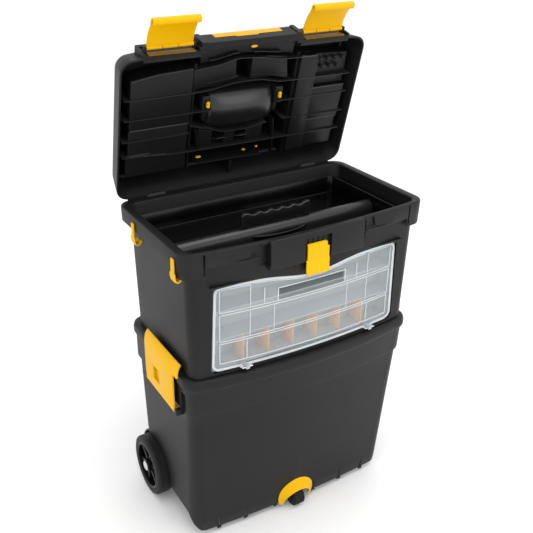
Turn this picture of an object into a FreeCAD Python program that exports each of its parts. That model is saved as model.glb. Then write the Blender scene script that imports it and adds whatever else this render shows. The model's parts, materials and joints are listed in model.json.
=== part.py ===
import FreeCAD, Part
import math
import os
import re
from FreeCAD import Placement, Rotation, Vector

os.makedirs("parts", exist_ok=True)
doc = FreeCAD.newDocument("rolling_tool_box")

# Frame: +X right, +Y back, +Z up, floor at z = 0, millimetres.
# The lid and what it carries are drawn closed, then turned to the stored open pose.

SIZES = {
    # upper rim and lid plan
    "rim_half": 226,
    "rim_front": -124.3,
    "rim_back": 124.3,
    "rim_bow": 12,
    "rim_corner": 23,
    "rim_top": 576,
    "flange_low": 550,
    "corner_low": 535,
    "skin": 3,
    # tool box
    "box_low": 354,
    "box_half_low": 209.9,
    "box_front_low": -115,
    "box_back_low": 108.6,
    "box_half_top": 213.8,
    "box_front_top": -119,
    "box_back_top": 110.6,
    "box_bow": 12,
    "box_corner": 20,
    "box_floor": 358,
    "plug_low": 346,
    "block_half": 87,
    "block_front": -140,
    "block_low": 527,
    # organiser bay and organiser
    "bay_half": 178,
    "bay_low": 359.5,
    "bay_top": 513,
    "bay_back": -72,
    "case_half": 176.5,
    "case_low": 360.5,
    "case_top": 511,
    "case_back": -73.5,
    "case_mouth": -112,
    "case_dip": 499,
    "dip_half": 100,
    "shelf_low": 412,
    "shelf_high": 463,
    "case_skin": 2.5,
    "cover_front": -117,
    "cover_bow": 11,
    "cover_pin_y": -130,
    "cover_pin_z": 363.4,
    "divider_pitch": 46.8,
    # organiser latch
    "slider_half": 21.5,
    "slider_low": 503,
    "slider_top": 553,
    "slider_front": -139.5,
    "slider_back": -133.5,
    # bin
    "bin_low": 12,
    "bin_half_low": 205.3,
    "bin_front_low": -92.6,
    "bin_back_low": 115.9,
    "bin_bow_low": 7,
    "bin_half_top": 212.2,
    "bin_front_top": -114.2,
    "bin_back_top": 119,
    "bin_bow_top": 16.6,
    "bin_corner": 26,
    "band_low": 285,
    "band_half": 217,
    "band_front": -118.6,
    "band_back": 121,
    "band_bow": 18.4,
    "lip_low": 334,
    "lip_half": 221,
    "lip_front": -122.4,
    "lip_back": 123.6,
    "lip_bow": 18.6,
    "lip_inner": 205.6,
    "bin_floor_top": 76,
    "bin_floor_low": 72,
    "bin_rim_low": 264,
    "side_edge": 46,
    # rear wheels
    "wheel_radius": 57.5,
    "wheel_y": 68.6,
    "wheel_in": 198,
    "wheel_out": 228,
    "tyre_depth": 12,
    "axle_radius": 5,
    "axle_end": 230.4,
    "running": 0.05,
    # front wheel
    "roller_y": -99,
    "roller_radius": 20.5,
    "roller_half": 10,
    "roller_pin": 3,
    "hood_radius": 37.5,
    "hood_z": 25,
    "hood_inner": 30,
    "hood_inner_z": 15,
    "hood_low": 10,
    # side latches
    "side_pin_x": 221,
    "side_pin_z": 278,
    "side_pin": 2.5,
    "side_front": -72,
    "side_back": 40,
    "side_out": 226.5,
    "side_in": 222.8,
    # lid
    "hinge_y": 124,
    "hinge_z": 576,
    "lid_low": 577,
    "lid_top": 626,
    "lid_inset": 10,
    "hinge_x": 154,
    "hinge_pin": 2,
    "knuckle": 5,
    "lid_open": 75,
    # lid latches
    "latch_x_in": 101,
    "latch_x_out": 179,
    "latch_y": -135,
    "latch_z": 592,
    "latch_pin": 1.5,
    "latch_tip": 537,
    "latch_open": 72,
    # carry handle
    "carry_x": 67.8,
    "carry_y": -32,
    "carry_z": 630.5,
    "carry_grip_y": -46,
    # tray
    "tray_half": 200,
    "tray_front": -101,
    "tray_back": 106,
    "tray_low": 519,
    "tray_top": 554,
    "tray_skin": 2.4,
    "ridge_front": -20,
    "ridge_back": -10,
    "ridge_top": 545,
    "grip_half": 66.5,
    "grip_top": 572,
    # pull handle
    "tube_x": 80,
    "tube_radius": 8.5,
    "sleeve_radius": 10.5,
    "tube_y0": 130,
    "tube_z0": 60,
    "tube_lean": 6.3,
    "sleeve_start": 20,
    "sleeve_end": 440,
    "tube_start": 24,
    "tube_end": 500,
}

sheet = doc.addObject("Spreadsheet::Sheet", "Sizes")
for row, (alias, number) in enumerate(SIZES.items(), start=1):
    sheet.set("A%d" % row, alias)
    sheet.set("B%d" % row, str(number))
    sheet.setAlias("B%d" % row, alias)
doc.recompute()

WORD = re.compile(r"[a-z_][a-z_0-9]*")
FUNCTIONS = {"sqrt", "sin", "cos", "tan", "abs"}


def ex(term):
    """An expression on the sheet from a plain formula or a number."""
    return WORD.sub(lambda m: m.group() if m.group() in FUNCTIONS else "Sizes." + m.group(), str(term))


def val(term):
    """The number that a formula comes to."""
    names = {name: float(number) for name, number in SIZES.items()}
    total = 0.0
    sign = 1.0
    for piece in re.findall(r"[+-]|[^\s+-]+", str(term).replace("(", " ").replace(")", " ")):
        if piece == "-":
            sign = -sign
        elif piece == "+":
            continue
        else:
            product = 1.0
            for factor in piece.split("*"):
                product *= names[factor] if factor in names else float(factor)
            total += sign * product
            sign = 1.0
    return total


def box(name, xs, ys, zs):
    """A block between two bounds on each axis."""
    obj = doc.addObject("Part::Box", name)
    for side, (low, high) in zip(("Length", "Width", "Height"), (xs, ys, zs)):
        obj.setExpression(side, ex("(%s) - (%s)" % (high, low)))
    for axis, (low, high) in zip("xyz", (xs, ys, zs)):
        obj.setExpression("Placement.Base." + axis, ex(low))
    return obj


TURNS = {
    "x": Rotation(Vector(0, 1, 0), 90),
    "y": Rotation(Vector(1, 0, 0), -90),
    "z": Rotation(),
}


def rod(name, radius, axis, span, centre):
    """A cylinder along an axis, between two bounds, through a centre in the other two axes."""
    obj = doc.addObject("Part::Cylinder", name)
    obj.setExpression("Radius", ex(radius))
    obj.setExpression("Height", ex("(%s) - (%s)" % (span[1], span[0])))
    obj.Placement = Placement(Vector(), TURNS[axis])
    others = [letter for letter in "xyz" if letter != axis]
    obj.setExpression("Placement.Base." + axis, ex(span[0]))
    obj.setExpression("Placement.Base." + others[0], ex(centre[0]))
    obj.setExpression("Placement.Base." + others[1], ex(centre[1]))
    return obj


def fuse(name, *shapes):
    obj = doc.addObject("Part::MultiFuse", name)
    obj.Shapes = list(shapes)
    obj.Refine = True
    return obj


def cut(name, base, *tools):
    obj = doc.addObject("Part::Cut", name)
    obj.Base = base
    obj.Tool = tools[0] if len(tools) == 1 else fuse(name + "_tools", *tools)
    obj.Refine = True
    return obj


def common(name, *shapes):
    obj = doc.addObject("Part::MultiCommon", name)
    obj.Shapes = list(shapes)
    return obj


def soften(name, base, radius, pick):
    """Round the edges that pick() accepts."""
    doc.recompute()
    obj = doc.addObject("Part::Fillet", name)
    obj.Base = base
    edges = enumerate(base.Shape.Edges, start=1)
    obj.Edges = [(number, radius, radius) for number, edge in edges if pick(edge)]
    return obj


def along(axis):
    """Accept straight edges that run along one axis."""
    wanted = {"x": Vector(1, 0, 0), "y": Vector(0, 1, 0), "z": Vector(0, 0, 1)}[axis]

    def pick(edge):
        if edge.Curve.TypeId != "Part::GeomLine":
            return False
        return abs(edge.tangentAt(edge.FirstParameter).dot(wanted)) > 0.999

    return pick


def full_circle(edge):
    return edge.Curve.TypeId == "Part::GeomCircle" and edge.isClosed()


def plan(height, half, front, back, bow, corner):
    """A level outline: width, depth, bow of the front edge and corner radius at one height."""
    return {"height": height, "half": half, "front": front, "back": back, "bow": bow, "corner": corner}


def plane_of(body, role):
    return next(item for item in body.Origin.OriginFeatures if item.Role == role)


def plan_sketch(body, name, level):
    """The bowed outline as a sketch, every dimension bound to the sheet."""
    sketch = body.newObject("Sketcher::SketchObject", name)
    sketch.AttachmentSupport = [(plane_of(body, "XY_Plane"), "")]
    sketch.MapMode = "FlatFace"
    sketch.setExpression("AttachmentOffset.Base.z", ex(level["height"]))
    half, front, back, bow, corner = (val(level[key]) for key in ("half", "front", "back", "bow", "corner"))
    flat = half - corner
    sweep = (flat * flat + bow * bow) / (2 * bow)
    middle = front - bow + sweep
    up = Vector(0, 0, 1)

    def arc(x, y, radius, start, end):
        return Part.ArcOfCircle(Part.Circle(Vector(x, y, 0), up, radius), math.radians(start),
                                math.radians(end))

    lean = math.degrees(math.atan2(front - middle, flat))
    sketch.addGeometry([
        Part.LineSegment(Vector(half, front + corner, 0), Vector(half, back - corner, 0)),
        arc(flat, back - corner, corner, 0, 90),
        Part.LineSegment(Vector(flat, back, 0), Vector(-flat, back, 0)),
        arc(-flat, back - corner, corner, 90, 180),
        Part.LineSegment(Vector(-half, back - corner, 0), Vector(-half, front + corner, 0)),
        arc(-flat, front + corner, corner, 180, 270),
        arc(0, middle, sweep, -180 - lean, lean),
        arc(flat, front + corner, corner, 270, 360),
    ], False)
    import Sketcher
    rules = [("Tangent", first, 2, first + 1, 1) for first in range(5)]
    rules += [("Tangent", 7, 2, 0, 1), ("Coincident", 5, 2, 6, 1), ("Coincident", 6, 2, 7, 1)]
    rules += [("Vertical", 0), ("Horizontal", 2), ("Vertical", 5, 2, 5, 3), ("Vertical", 7, 1, 7, 3)]
    rules += [("Equal", 1, 3), ("Equal", 1, 5), ("Equal", 1, 7), ("Horizontal", 5, 2, 7, 1)]
    for rule in rules:
        sketch.addConstraint(Sketcher.Constraint(*rule))
    sizes = (
        ("half_width", ("DistanceX", -1, 1, 0, 1), half, level["half"]),
        ("full_width", ("DistanceX", 4, 1, 0, 1), 2 * half, "2*(%s)" % level["half"]),
        ("back_edge", ("DistanceY", -1, 1, 2, 1), back, level["back"]),
        ("front_edge", ("DistanceY", -1, 1, 5, 2), front, level["front"]),
        ("corner", ("Radius", 1), corner, level["corner"]),
        ("sweep", ("Radius", 6), sweep, "(({w}) * ({w}) + ({b}) * ({b})) / (2 * ({b}))".format(
            w="(%s) - (%s)" % (level["half"], level["corner"]), b=level["bow"])),
    )
    for label, rule, number, formula in sizes:
        index = sketch.addConstraint(Sketcher.Constraint(*rule, number))
        sketch.renameConstraint(index, label)
        sketch.setExpression("Constraints." + label, ex(formula))
    return sketch


def plan_solid(name, low, high):
    """A tapered solid between two outlines."""
    body = doc.addObject("PartDesign::Body", name)
    first = plan_sketch(body, name + "_low", low)
    second = plan_sketch(body, name + "_high", high)
    loft = body.newObject("PartDesign::AdditiveLoft", name + "_loft")
    loft.Profile = (first, [""])
    loft.Sections = [(second, [""])]
    loft.Ruled = True
    body.Tip = loft
    return body


def sided(side, low, high):
    """Bounds in x on the right, or mirrored to the left."""
    return (low, high) if side == "right" else ("-(%s)" % high, "-(%s)" % low)


def sign_of(side):
    return "" if side == "right" else "-"


NODES = []


def node(name, obj, pose=None):
    """Register a finished sub-part under its file name, with its stored pose."""
    obj.Label = name
    if pose is not None:
        obj.Placement = pose.multiply(obj.Placement)
    NODES.append(obj)
    return obj


def turn(angle, y, z):
    """A turn about an axis along X through (y, z)."""
    return Placement(Vector(), Rotation(Vector(1, 0, 0), angle), Vector(0, y, z))


LID_POSE = turn(-val("lid_open"), val("hinge_y"), val("hinge_z"))
LATCH_POSE = LID_POSE.multiply(turn(-val("latch_open"), val("latch_y"), val("latch_z")))

# ---------------------------------------------------------------- bin

wall_outer = plan_solid(
    "bin_wall_outer",
    plan("bin_low", "bin_half_low", "bin_front_low", "bin_back_low", "bin_bow_low", "bin_corner"),
    plan("band_low", "bin_half_top", "bin_front_top", "bin_back_top", "bin_bow_top", "bin_corner"))
band_outer = plan_solid(
    "bin_band_outer",
    plan("band_low", "band_half", "band_front", "band_back", "band_bow", "bin_corner"),
    plan("lip_low", "band_half", "band_front", "band_back", "band_bow", "bin_corner"))
lip_outer = plan_solid(
    "bin_lip_outer",
    plan("lip_low", "lip_half", "lip_front", "lip_back", "lip_bow", "bin_corner"),
    plan("box_low", "lip_half", "lip_front", "lip_back", "lip_bow", "bin_corner"))
bin_solid = fuse("bin_solid", wall_outer, band_outer, lip_outer)
bin_hollow = plan_solid(
    "bin_hollow",
    plan("bin_floor_top", "bin_half_low - 1.6", "bin_front_low - 1", "bin_back_low - 2.6", "bin_bow_low",
         "bin_corner"),
    plan("lip_low", "lip_inner + 5", "bin_front_top + 1", "bin_back_top - 2", "bin_bow_top", "bin_corner"))
bin_mouth = plan_solid(
    "bin_mouth",
    plan("lip_low - 1", "lip_inner", "-112.4", "105.6", "box_bow", "box_corner"),
    plan("box_low + 1", "lip_inner", "-112.4", "105.6", "box_bow", "box_corner"))
bin_under = plan_solid(
    "bin_under",
    plan("bin_low - 6", "bin_half_low - 3.2", "bin_front_low + 3", "bin_back_low - 3", "bin_bow_low",
         "bin_corner"),
    plan("bin_floor_low", "bin_half_low - 2", "bin_front_low - 1.4", "bin_back_low - 2.4", "bin_bow_low",
         "bin_corner"))


low_edge = box("bin_low_edge", ("-lip_half", "lip_half"), ("-70", "band_back + 4"), ("0", "side_edge"))
low_slope = box("bin_low_slope", ("-lip_half", "lip_half"), ("0", "60"), ("0", "44"))
low_slope.setExpression("Placement.Base.y", None)
low_slope.setExpression("Placement.Base.z", None)
low_slope.Placement = Placement(Vector(-val("lip_half"), -92, 8), Rotation(Vector(1, 0, 0), -30))
arch_mouth = fuse(
    "wheel_mouth",
    box("wheel_mouth_legs", ("-31", "31"), ("-130", "-60"), ("0", "20")),
    rod("wheel_mouth_round", "31", "y", ("-130", "-60"), ("0", "17")))
latch_relief = [
    box("latch_relief_" + side, sided(side, "217.2", "lip_half + 3"),
        ("side_front - 4", "side_back + 4"), ("lip_low - 2", "box_low + 2"))
    for side in ("left", "right")]
wheel_wells = []
well_walls = []
for side in ("left", "right"):
    centre = ("wheel_y", "wheel_radius")
    wheel_wells.append(rod("wheel_well_" + side, "wheel_radius + 4", "x",
                           sided(side, "wheel_in - 3", "lip_half + 20"), centre))
    well_walls.append(rod("well_wall_" + side, "wheel_radius + 7", "x",
                          sided(side, "wheel_in - 6", "lip_half + 20"), centre))
well_lining = common("well_lining", fuse("well_walls", *well_walls), bin_solid)
axle_hole = rod("axle_hole", "axle_radius + 0.001", "x", ("-lip_half", "lip_half"),
                ("wheel_y", "wheel_radius"))
latch_ears = []
for side in ("left", "right"):
    for spot, (start, end) in {"front": ("side_front - 9", "side_front - 1"),
                               "back": ("side_back + 1", "side_back + 9")}.items():
        latch_ears.append(box("latch_ear_%s_%s" % (side, spot), sided(side, "208.6", "side_pin_x + 5"),
                              (start, end), ("side_pin_z - 6", "side_pin_z + 6")))
latch_bores = [
    rod("latch_bore_" + side, "side_pin", "y", ("side_front - 8", "side_back + 8"),
        (sign_of(side) + "side_pin_x", "side_pin_z"))
    for side in ("left", "right")]
foot_tabs = []
for index, (centre, edge) in enumerate(((41, -99.3), (103, -97.6), (157, -95.2))):
    for side in ("left", "right"):
        foot_tabs.append(box("foot_tab_%s_%d" % (side, index), sided(side, centre - 3, centre + 3),
                             (edge + 0.2, edge + 2.6), (8, 14)))
bin_raw = cut("bin_raw", bin_solid, bin_hollow, bin_mouth, bin_under, arch_mouth, *latch_relief)
bin_raw = cut("bin_with_wells", fuse("bin_lined", bin_raw, well_lining), low_edge, low_slope, *wheel_wells)
bin_ears = cut("bin_ears", fuse("bin_ears_solid", *latch_ears), bin_hollow)
bin_shell = cut("bin_shell_cut", fuse("bin_with_ears", bin_raw, bin_ears, *foot_tabs), axle_hole,
                *latch_bores)
levels = (("bin_skirt", "0", "bin_floor_low"), ("bin_shell", "bin_floor_low", "bin_rim_low"),
          ("bin_rim", "bin_rim_low", "box_low + 2"))
for name, low, high in levels:
    slab = box(name + "_slab", ("-lip_half - 9", "lip_half + 9"), ("-160", "band_back + 9"), (low, high))
    node(name, common(name + "_part", bin_shell, slab))
hood_round = rod("hood_round", "hood_radius", "y", ("-118", "-98"), ("0", "hood_z"))
hood_solid = cut("hood_body", hood_round,
                 rod("hood_mouth", "hood_inner", "y", ("-125", "-90"), ("0", "hood_inner_z")), bin_solid,
                 box("hood_foot_cut", ("-50", "50"), ("-130", "-90"), ("-20", "hood_low")),
                 box("hood_mouth_legs", ("-hood_inner", "hood_inner"), ("-130", "-90"),
                     ("0", "hood_inner_z")))
hood_slopes = []
for name, y, z, angle in (("front", -104, 8, 21.5), ("top", -103, 65, -52)):
    slope = box("hood_slope_" + name, ("-50", "50"), ("-60", "0"), ("-40", "80"))
    slope.setExpression("Placement.Base.x", None)
    slope.setExpression("Placement.Base.y", None)
    slope.setExpression("Placement.Base.z", None)
    lean = Placement(Vector(0, y, z), Rotation(Vector(1, 0, 0), angle))
    slope.Placement = lean.multiply(Placement(Vector(-50, -60, -40), Rotation()))
    hood_slopes.append(slope)
node("wheel_hood", cut("hood_cut", hood_solid, *hood_slopes))

node("axle", rod("axle_rod", "axle_radius", "x", ("-axle_end", "axle_end"), ("wheel_y", "wheel_radius")))
for side in ("left", "right"):
    cap = rod("axle_cap_body_" + side, "9", "x", sided(side, "wheel_out + 0.9", "axle_end + 1.6"),
              ("wheel_y", "wheel_radius"))
    cap = soften("axle_cap_soft_" + side, cap, 1.2, full_circle)
    core = rod("axle_cap_core_" + side, "axle_radius", "x", sided(side, "wheel_out", "axle_end"),
               ("wheel_y", "wheel_radius"))
    node("axle_cap_" + side, cut("axle_cap_cut_" + side, cap, core))

# ---------------------------------------------------------------- rear wheels

for side in ("left", "right"):
    centre = ("wheel_y", "wheel_radius")
    tyre = rod("tyre_body_" + side, "wheel_radius", "x", sided(side, "wheel_in", "wheel_out"), centre)
    tyre = soften("tyre_soft_" + side, tyre, 3, full_circle)
    rim = "wheel_radius - tyre_depth"
    tyre = cut("tyre_cut_" + side, tyre, rod("tyre_bore_" + side, rim, "x", sided(side, "180", "240"),
                                             centre))
    node("tyre_" + side, tyre)
    disc = rod("hub_disc_" + side, rim, "x", sided(side, "wheel_in + 1", "wheel_out - 1"), centre)
    recess = cut("hub_recess_" + side,
                 rod("hub_recess_out_" + side, "wheel_radius - tyre_depth - 4", "x",
                     sided(side, "wheel_in + 7", "wheel_out + 1"), centre),
                 rod("hub_recess_in_" + side, "15", "x", sided(side, "180", "240"), centre))
    boss = rod("hub_boss_" + side, "14", "x", sided(side, "wheel_in - 0.4", "wheel_out + 0.6"), centre)
    spokes = []
    for number in range(6):
        spoke = box("spoke_%s_%d" % (side, number), sided(side, "wheel_in + 6", "wheel_out - 4"),
                    ("-3", "3"), ("10", "43"))
        spoke.setExpression("Placement.Base.y", None)
        spoke.setExpression("Placement.Base.z", None)
        swing = Placement(Vector(0, val("wheel_y"), val("wheel_radius")),
                          Rotation(Vector(1, 0, 0), 60 * number))
        start = val(sided(side, "wheel_in + 6", "wheel_out - 4")[0])
        spoke.Placement = swing.multiply(Placement(Vector(start, -3, 10), Rotation()))
        spokes.append(spoke)
    hub = fuse("hub_solid_" + side, cut("hub_dished_" + side, disc, recess), boss, *spokes)
    bore = rod("hub_bore_" + side, "axle_radius + running", "x", sided(side, "180", "240"), centre)
    node("wheel_hub_" + side, cut("hub_cut_" + side, hub, bore))

# ---------------------------------------------------------------- front wheel

bracket_plate = box("bracket_plate", ("-30", "30"), ("-96", "-58"), ("bin_floor_low - 3", "bin_floor_low"))
cheeks = []
for side in ("left", "right"):
    xs = sided(side, "roller_half + 1", "roller_half + 4.2")
    cheeks.append(box("bracket_cheek_" + side, xs, ("-93", "-66"), ("28", "bin_floor_low - 1")))
    cheeks.append(box("bracket_foot_" + side, xs, ("roller_y - 7", "-74"), ("roller_radius - 7", "40")))
pin_hole = rod("bracket_pin_hole", "roller_pin", "x", ("-20", "20"), ("roller_y", "roller_radius"))
node("front_wheel_bracket", cut("bracket_cut", fuse("bracket_solid", bracket_plate, *cheeks), pin_hole))
front_pin = rod("front_pin_rod", "roller_pin", "x", ("-15.4", "15.4"), ("roller_y", "roller_radius"))
node("front_wheel_pin", front_pin)
roller = rod("roller_body", "roller_radius", "x", ("-roller_half", "roller_half"),
             ("roller_y", "roller_radius"))
roller = soften("roller_soft", roller, 3, full_circle)
roller_bore = rod("roller_bore", "roller_pin + running", "x", ("-12", "12"), ("roller_y", "roller_radius"))
node("front_roller", cut("roller_cut", roller, roller_bore))

# ---------------------------------------------------------------- side latches

for side in ("left", "right"):
    edge = sign_of(side)
    node("side_latch_pin_" + side, rod("side_pin_" + side, "side_pin", "y",
                                       ("side_front - 8", "side_back + 8"),
                                       (edge + "side_pin_x", "side_pin_z")))
    plate = box("side_plate_" + side, sided(side, "side_in", "side_out"), ("side_front", "side_back"),
                ("side_pin_z", "376"))
    lip = box("side_lip_" + side, sided(side, "215.4", "side_out"), ("side_front", "side_back"),
              ("372", "376"))
    curl = box("side_curl_" + side, sided(side, "215.4", "218.4"), ("side_front", "side_back"),
               ("369", "374"))
    knuckle = rod("side_knuckle_" + side, "5", "y", ("side_front", "side_back"),
                  (edge + "side_pin_x", "side_pin_z"))
    window = box("side_window_" + side, sided(side, "210", "240"), ("-17", "6"), ("296", "322"))
    solid = fuse("side_solid_" + side, plate, lip, curl, knuckle)
    bore = rod("side_bore_" + side, "side_pin + running", "y", ("side_front - 1", "side_back + 1"),
               (edge + "side_pin_x", "side_pin_z"))
    node("side_latch_" + side, cut("side_cut_" + side, solid, window, bore))

# ---------------------------------------------------------------- pull handle

LEAN = Placement(Vector(0, val("tube_y0"), val("tube_z0")), Rotation(Vector(1, 0, 0), -val("tube_lean")))


def leaning(name, radius, start, end, x):
    """A rod along the pull handle's line, measured from its foot."""
    obj = doc.addObject("Part::Cylinder", name)
    obj.setExpression("Radius", ex(radius))
    obj.setExpression("Height", ex("(%s) - (%s)" % (end, start)))
    obj.Placement = LEAN.multiply(Placement(Vector(x, 0, val(start)), Rotation()))
    return obj


for side, x in (("left", -val("tube_x")), ("right", val("tube_x"))):
    outer = leaning("sleeve_outer_" + side, "sleeve_radius", "sleeve_start", "sleeve_end", x)
    inner = leaning("sleeve_inner_" + side, "tube_radius + running", "sleeve_start + 3", "sleeve_end + 9",
                    x)
    node("handle_sleeve_" + side, cut("sleeve_cut_" + side, outer, inner))
    solid = leaning("tube_solid_" + side, "tube_radius", "tube_start", "tube_end", x)
    hollow = leaning("tube_hollow_" + side, "tube_radius - 1.6", "tube_start - 5", "tube_end + 5", x)
    node("pull_tube_" + side, cut("tube_cut_" + side, solid, hollow))
grip_body = doc.addObject("Part::Box", "pull_grip_box")
grip_body.setExpression("Length", ex("2*tube_x + 40"))
grip_body.Width = 30
grip_body.Height = 24
grip_body.Placement = LEAN.multiply(Placement(Vector(-val("tube_x") - 20, -9, val("tube_end") - 14),
                                              Rotation()))
grip_body = soften("pull_grip_soft", grip_body, 8, along("x"))
grip_holes = [leaning("pull_grip_hole_" + side, "tube_radius", "tube_start", "tube_end", x)
              for side, x in (("left", -val("tube_x")), ("right", val("tube_x")))]
node("pull_grip", cut("pull_grip_cut", grip_body, *grip_holes))
sleeve_space = [leaning("sleeve_space_" + side, "sleeve_radius", "sleeve_start - 5", "sleeve_end", x)
                for side, x in (("left", -val("tube_x")), ("right", val("tube_x")))]
bracket_fit = fuse("bracket_fit", bin_solid, *sleeve_space)
for name, depth, low, high in (("handle_bracket_low", 152, 96, 126), ("handle_bracket_high", 178, 300,
                                                                      328)):
    body = box(name + "_body", ("-tube_x - 20", "tube_x + 20"), (114, depth), (low, high))
    node(name, cut(name + "_cut", soften(name + "_soft", body, 6, along("x")), bracket_fit))

# ---------------------------------------------------------------- tool box

box_outer = plan_solid(
    "box_outer",
    plan("box_low", "box_half_low", "box_front_low", "box_back_low", "box_bow", "box_corner"),
    plan("rim_top", "box_half_top", "box_front_top", "box_back_top", "box_bow", "box_corner"))
box_plug = plan_solid(
    "box_plug",
    plan("plug_low", "lip_inner - 2.6", "-109", "102.6", "box_bow", "box_corner"),
    plan("box_low + 1", "lip_inner - 2", "-109.8", "103.2", "box_bow", "box_corner"))
rim_outer = plan_solid(
    "rim_outer",
    plan("flange_low", "rim_half - 0.6", "rim_front + 0.6", "rim_back - 0.6", "rim_bow", "rim_corner"),
    plan("rim_top", "rim_half", "rim_front", "rim_back", "rim_bow", "rim_corner"))
rim_under = plan_solid(
    "rim_under",
    plan("flange_low - 20", "rim_half - skin - 0.4", "rim_front + skin + 0.4", "rim_back - skin - 0.4",
         "rim_bow", "rim_corner"),
    plan("rim_top - skin", "rim_half - skin", "rim_front + skin", "rim_back - skin", "rim_bow",
         "rim_corner"))
corner_outer = plan_solid(
    "corner_outer",
    plan("corner_low", "rim_half - 0.8", "rim_front + 0.8", "rim_back - 0.8", "rim_bow", "rim_corner"),
    plan("rim_top - 1", "rim_half - 0.1", "rim_front + 0.1", "rim_back - 0.1", "rim_bow", "rim_corner"))
corner_zone = fuse("corner_zone", *[
    box("corner_zone_" + side, sided(side, "187", "rim_half + 2"), ("rim_front - 14", "-101"),
        ("corner_low - 1", "rim_top"))
    for side in ("left", "right")])
box_hollow = plan_solid(
    "box_hollow",
    plan("box_floor", "box_half_low - skin", "box_front_low + skin", "box_back_low - skin", "box_bow",
         "box_corner - 2"),
    plan("rim_top + 1", "box_half_top - skin", "box_front_top + skin", "box_back_top - skin", "box_bow",
         "box_corner - 2"))
flange_solid = fuse("flange_solid", rim_outer, common("corner_blocks", corner_outer, corner_zone))
flange = cut("flange_ring", flange_solid, rim_under, box_hollow)
block = box("front_block", ("-block_half", "block_half"), ("block_front", "-124"), ("block_low", "rim_top"))
block = cut("front_block_cut", soften("front_block_soft", block, 2, along("z")), box_hollow)
bay_block = box("bay_block", ("-bay_half - skin", "bay_half + skin"), ("-140", "bay_back + skin"),
                ("box_low", "bay_top + skin"))
bay_space = box("bay_space", ("-bay_half", "bay_half"), ("-150", "bay_back"), ("bay_low", "bay_top"))
bay_brow = common("bay_brow", box_outer, box("bay_brow_box", ("-97", "97"), ("-140", "-113"),
                                             ("case_dip + 2", "bay_top + 1")))
slider_space = box("slider_space", ("-slider_half - 2.5", "slider_half + 2.5"),
                   ("-150", "slider_back + 0.5"),
                   ("block_low - 1", "566"))
ledges = []
catches = []
for side in ("left", "right"):
    ledges.append(box("tray_ledge_" + side, sided(side, "201.4", "211.6"), ("-80", "80"),
                      ("546", "tray_top - 3")))
    catches.append(box("latch_catch_" + side, sided(side, "208", "214.6"),
                       ("side_front + 4", "side_back - 4"),
                       ("359", "370")))
box_walls = cut("box_walls", box_outer, box_hollow)
bay_sill = common("bay_sill", box_outer, box("bay_sill_box", ("-bay_half - skin", "bay_half + skin"),
                                             ("-140", "bay_back + skin"), ("box_floor - 1", "bay_low")))
bay_frame = cut("bay_frame", common("bay_frame_solid", bay_block, box_outer), bay_space, box_walls, bay_sill)
node("organiser_bay", bay_frame)
hinge_reliefs = [rod("hinge_relief_" + side, "knuckle + 0.8", "x",
                     sided(side, "hinge_x - 16", "hinge_x + 16"),
                     ("hinge_y", "hinge_z")) for side in ("left", "right")]
shell_solid = cut("box_opened", fuse("box_solid", box_walls, box_plug, bay_sill, *ledges, *catches), bay_space)
shell_brow = cut("bay_brow_cut", bay_brow, box_hollow)
node("toolbox_shell", fuse("toolbox_shell_solid", shell_solid, shell_brow))
knuckles = []
for side in ("left", "right"):
    ends = {"outer": ("hinge_x + 6.3", "hinge_x + 15"), "inner": ("hinge_x - 15", "hinge_x - 6.3")}
    for spot, (start, end) in ends.items():
        label = "box_knuckle_%s_%s" % (side, spot)
        knuckles.append(rod(label, "knuckle", "x", sided(side, start, end), ("hinge_y", "hinge_z")))
        knuckles.append(box(label + "_web", sided(side, start, end), ("hinge_y - 3", "hinge_y + 2"),
                            ("hinge_z - 16", "hinge_z - 2")))
pin_holes = [rod("hinge_hole_" + side, "hinge_pin", "x", sided(side, "hinge_x - 17", "hinge_x + 17"),
                 ("hinge_y", "hinge_z")) for side in ("left", "right")]
rim_ring = cut("rim_ring", fuse("rim_solid", flange, block), box_outer, slider_space, *hinge_reliefs)
node("toolbox_rim", cut("toolbox_rim_cut", fuse("rim_with_knuckles", rim_ring, *knuckles), *pin_holes))
for side in ("left", "right"):
    node("lid_hinge_pin_" + side, rod("lid_pin_" + side, "hinge_pin", "x",
                                      sided(side, "hinge_x - 15", "hinge_x + 15"),
                                      ("hinge_y", "hinge_z")))
for side in ("left", "right"):
    for spot, middle in (("front", -98), ("back", 52)):
        label = "tool_hook_%s_%s" % (spot, side)
        ys = (middle - 8, middle + 8)
        strap = box(label + "_strap", sided(side, "rim_half + 0.02", "rim_half + 3.6"),
                    (middle - 5, middle + 5), ("527", "566"))
        cheek = box(label + "_cheek", sided(side, "rim_half + 0.02", "rim_half + 3.6"), ys, ("527", "541"))
        foot = box(label + "_foot", sided(side, "216.6", "rim_half + 3.6"), ys, ("527", "530.6"))
        toe = box(label + "_toe", sided(side, "216.6", "219.6"), ys, ("527", "538"))
        node(label, soften(label + "_soft", fuse(label + "_solid", strap, cheek, foot, toe), 1.2,
                           along("y")))

# ---------------------------------------------------------------- organiser latch

slider_plate = box("slider_plate", ("-slider_half", "slider_half"), ("slider_front", "slider_back"),
                   ("slider_low", "slider_top"))
slider_groove = box("slider_groove", ("-slider_half - 1", "slider_half + 1"),
                    ("slider_front - 1", "slider_front + 1.6"), ("521", "524"))
slider_lip = box("slider_lip", ("-slider_half", "slider_half"), ("slider_front - 2", "slider_front + 3"),
                 ("slider_low", "slider_low + 6"))
slider_plate = soften("slider_soft", slider_plate, 1.2, along("z"))
node("organiser_latch", cut("slider_cut", fuse("slider_solid", slider_plate, slider_lip), slider_groove))

# ---------------------------------------------------------------- organiser

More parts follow.
